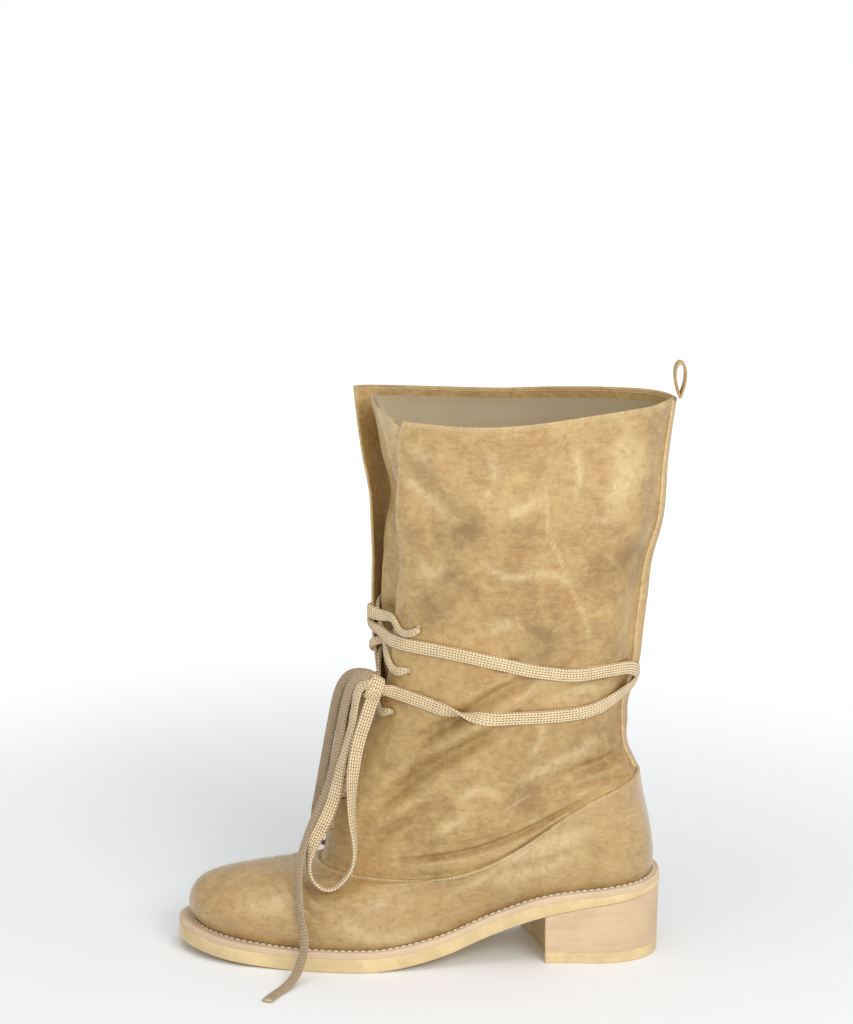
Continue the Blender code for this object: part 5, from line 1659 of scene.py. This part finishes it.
class BOOT_OT_bow(bpy.types.Operator):
    """Bow: knot, two loops and two ends of the free lace"""

    bl_idname = "boot.bow"
    bl_label = "Bow"

    def execute(self, context):
        colours, sizes = context.scene.boot_colours, context.scene.boot_sizes
        knot = self.knot(colours, sizes)
        # Each stretch ends with its tip's share of the width and how much darker and redder it is: soiling,
        # and painted shade where it faces away from the light.
        stretches = (
            ("bow_loop_outer", LOOP_OUTER, LOOP_OUTER_FACING, "lace_loop_outer", "object", 1.0, 0.1),
            ("bow_loop_inner", LOOP_INNER, LOOP_INNER_FACING, "lace_loop_inner", "object", 1.0, 0.9),
            ("bow_end_outer", END_OUTER, END_OUTER_FACING, "lace_end_outer", "bare", 0.78, 0.75),
            ("bow_end_inner", END_INNER, END_INNER_FACING, "lace_end_inner", "bare", 0.78, 0.6),
        )
        for name, route, facing, node, far_end, tip, soil_and_shade in stretches:
            made, path = free_lace(name, route, facing, node, colours, sizes, tip, soil_and_shade)
        return {"FINISHED"}

    def knot(self, colours, sizes):
        """The knot: a band of lace wound round the strands, and the bundle of strands that it holds."""
        width, thick = millimetres(sizes.lace_width), millimetres(sizes.lace_thick)
        axis = unit(np.array(KNOT_AXIS))
        side = unit(np.cross((0.0, 0.0, 1.0), axis))
        up = np.cross(axis, side)
        turn = np.linspace(0, 2 * math.pi, 80)[:, None]
        out = KNOT_RADII[1] * np.cos(turn) * side + KNOT_RADII[0] * np.sin(turn) * up
        band = ribbon(np.array(KNOT) + out + axis * KNOT_SKEW * np.sin(turn / 2), out, width, thick)
        way = np.linspace(-1, 1, 30)[:, None]
        core = np.array(KNOT) + axis * way * KNOT_CORE_HALF
        facing = np.repeat(side[None], len(core), axis=0)
        bundle = ribbon(core, facing, 2 * KNOT_RADII[0] - 2.0, 2 * KNOT_RADII[1] - 2.0)
        points, quads, ends, corners = joined([band, bundle])
        made = piece("bow_knot", points, quads, [lace_of(colours)], "lace", ends, corners=corners)
        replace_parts(made, "lace_knot")
        return made


# Stage, in metres.

Light = namedtuple("Light", "name place target size power")
LIGHTS = (
    Light("key", (-1.15, 1.9, 1.6), (0.0, 0.0, 0.15), 1.0, 16.0),
    Light("front", (-0.5, 2.3, 1.2), (0.0, 0.0, 0.12), 1.0, 18.0),
    Light("fill", (1.6, 1.2, 1.2), (0.0, 0.0, 0.15), 1.4, 2.5),
    Light("top", (0.0, 0.4, 2.3), (0.0, 0.0, 0.1), 1.6, 11.0),
)
WORLD_LIGHT = 0.56
FLOOR_HALF = 14.0
# The floor glows away from the boot: from where, to where, and how much.
GLOW_FROM = 0.2
GLOW_TO = 0.95
GLOW = 0.47
CLIP_END = 60.0


def aim_camera(camera):
    """Turns the camera so that the aim point falls on its pixel, with no roll.

    With the aim's direction d in the world and a in the camera, the pitch solves d's height and the
    heading follows from what is left of a across and ahead.
    """
    place = (np.array(CAMERA_PLACE) - ORIGIN) * MM
    d = unit((np.array(AIM_PLACE) - ORIGIN) * MM - place)
    focal = LENS / SENSOR * PICTURE[1]
    across, up = (AIM_PIXEL[0] - PICTURE[0] / 2) / focal, (PICTURE[1] / 2 - AIM_PIXEL[1]) / focal
    a = unit(np.array([across, up, 1.0]))
    pitch = math.asin(d[2] / math.hypot(a[1], a[2])) - math.atan2(a[1], a[2])
    ahead = a[2] * math.cos(pitch) - a[1] * math.sin(pitch)
    heading = math.atan2(d[1], d[0]) + math.atan2(a[0], ahead)
    camera.location = place
    camera.rotation_euler = (math.pi / 2 + pitch, 0.0, heading - math.pi / 2)


def soft_light(light):
    """A square studio light turned towards a point."""
    lamp = bpy.data.lights.new(light.name, "AREA")
    lamp.size = light.size
    lamp.energy = light.power
    made = bpy.data.objects.new(light.name, lamp)
    bpy.context.scene.collection.objects.link(made)
    d = unit(np.array(light.target) - np.array(light.place))
    made.location = light.place
    made.rotation_euler = (math.acos(-d[2]), 0.0, math.atan2(d[1], d[0]) + math.pi / 2 + math.pi)


class BOOT_OT_stage(bpy.types.Operator):
    """Camera, pale floor and soft studio light"""

    bl_idname = "boot.stage"
    bl_label = "Stage"

    def execute(self, context):
        scene = context.scene
        lens = bpy.data.cameras.new("camera")
        lens.lens = LENS
        lens.sensor_width = SENSOR
        lens.clip_end = CLIP_END
        camera = bpy.data.objects.new("camera", lens)
        scene.collection.objects.link(camera)
        aim_camera(camera)
        scene.camera = camera
        mesh = bpy.data.meshes.new("floor")
        corners = [(x * FLOOR_HALF, y * FLOOR_HALF, 0) for x, y in ((-1, -1), (1, -1), (1, 1), (-1, 1))]
        mesh.from_pydata(corners, [], [(0, 1, 2, 3)])
        made, tree, shader, place = new_material("floor_paint")
        shader.inputs["Base Color"].default_value = colour(scene.boot_colours.floor)
        shader.inputs["Roughness"].default_value = 0.8
        shader.inputs["Specular IOR Level"].default_value = 0.15
        shader.inputs["Emission Color"].default_value = (1.0, 1.0, 1.0, 1.0)
        away = add_node(tree, "ShaderNodeVectorMath", {"operation": "LENGTH"}, _0=place).outputs["Value"]
        glow = stretched(tree, away, GLOW_FROM, GLOW_TO, 0.0, GLOW)
        tree.links.new(glow, shader.inputs["Emission Strength"])
        mesh.materials.append(made)
        floor = bpy.data.objects.new("floor", mesh)
        scene.collection.objects.link(floor)
        world = bpy.data.worlds.new("studio")
        world.use_nodes = True
        background = world.node_tree.nodes["Background"]
        background.inputs["Color"].default_value = (1.0, 1.0, 1.0, 1.0)
        background.inputs["Strength"].default_value = WORLD_LIGHT
        scene.world = world
        for light in LIGHTS:
            soft_light(light)
        scene.view_settings.view_transform = "Standard"
        return {"FINISHED"}


class BOOT_PT_panel(bpy.types.Panel):
    """Lists the boot's pieces and what a user would change"""

    bl_idname = "BOOT_PT_panel"
    bl_label = "Slouch boot"
    bl_space_type = "VIEW_3D"
    bl_region_type = "UI"
    bl_category = "Boot"

    def draw(self, context):
        for operator in OPERATORS:
            self.layout.operator(operator.bl_idname)
        for group in (context.scene.boot_colours, context.scene.boot_sizes):
            for name in group.__annotations__:
                self.layout.prop(group, name)


OPERATORS = (
    BOOT_OT_stage, BOOT_OT_bow, BOOT_OT_lace, BOOT_OT_shaft, BOOT_OT_galosh, BOOT_OT_tongue,
    BOOT_OT_back_strip, BOOT_OT_pull_loop, BOOT_OT_sole, BOOT_OT_insole, BOOT_OT_stitches,
)
CLASSES = (BootColours, BootSizes, *OPERATORS, BOOT_PT_panel)


def register():
    """Makes the classes known to Blender."""
    for known in CLASSES:
        bpy.utils.register_class(known)
    bpy.types.Scene.boot_colours = bpy.props.PointerProperty(type=BootColours)
    bpy.types.Scene.boot_sizes = bpy.props.PointerProperty(type=BootSizes)


def unregister():
    """Takes them away again."""
    del bpy.types.Scene.boot_sizes
    del bpy.types.Scene.boot_colours
    for known in reversed(CLASSES):
        bpy.utils.unregister_class(known)


def main():
    """Builds the boot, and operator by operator."""
    register()
    for operator in OPERATORS:
        group, name = operator.bl_idname.split(".")
        getattr(getattr(bpy.ops, group), name)()


if __name__ == "__main__":
    main()
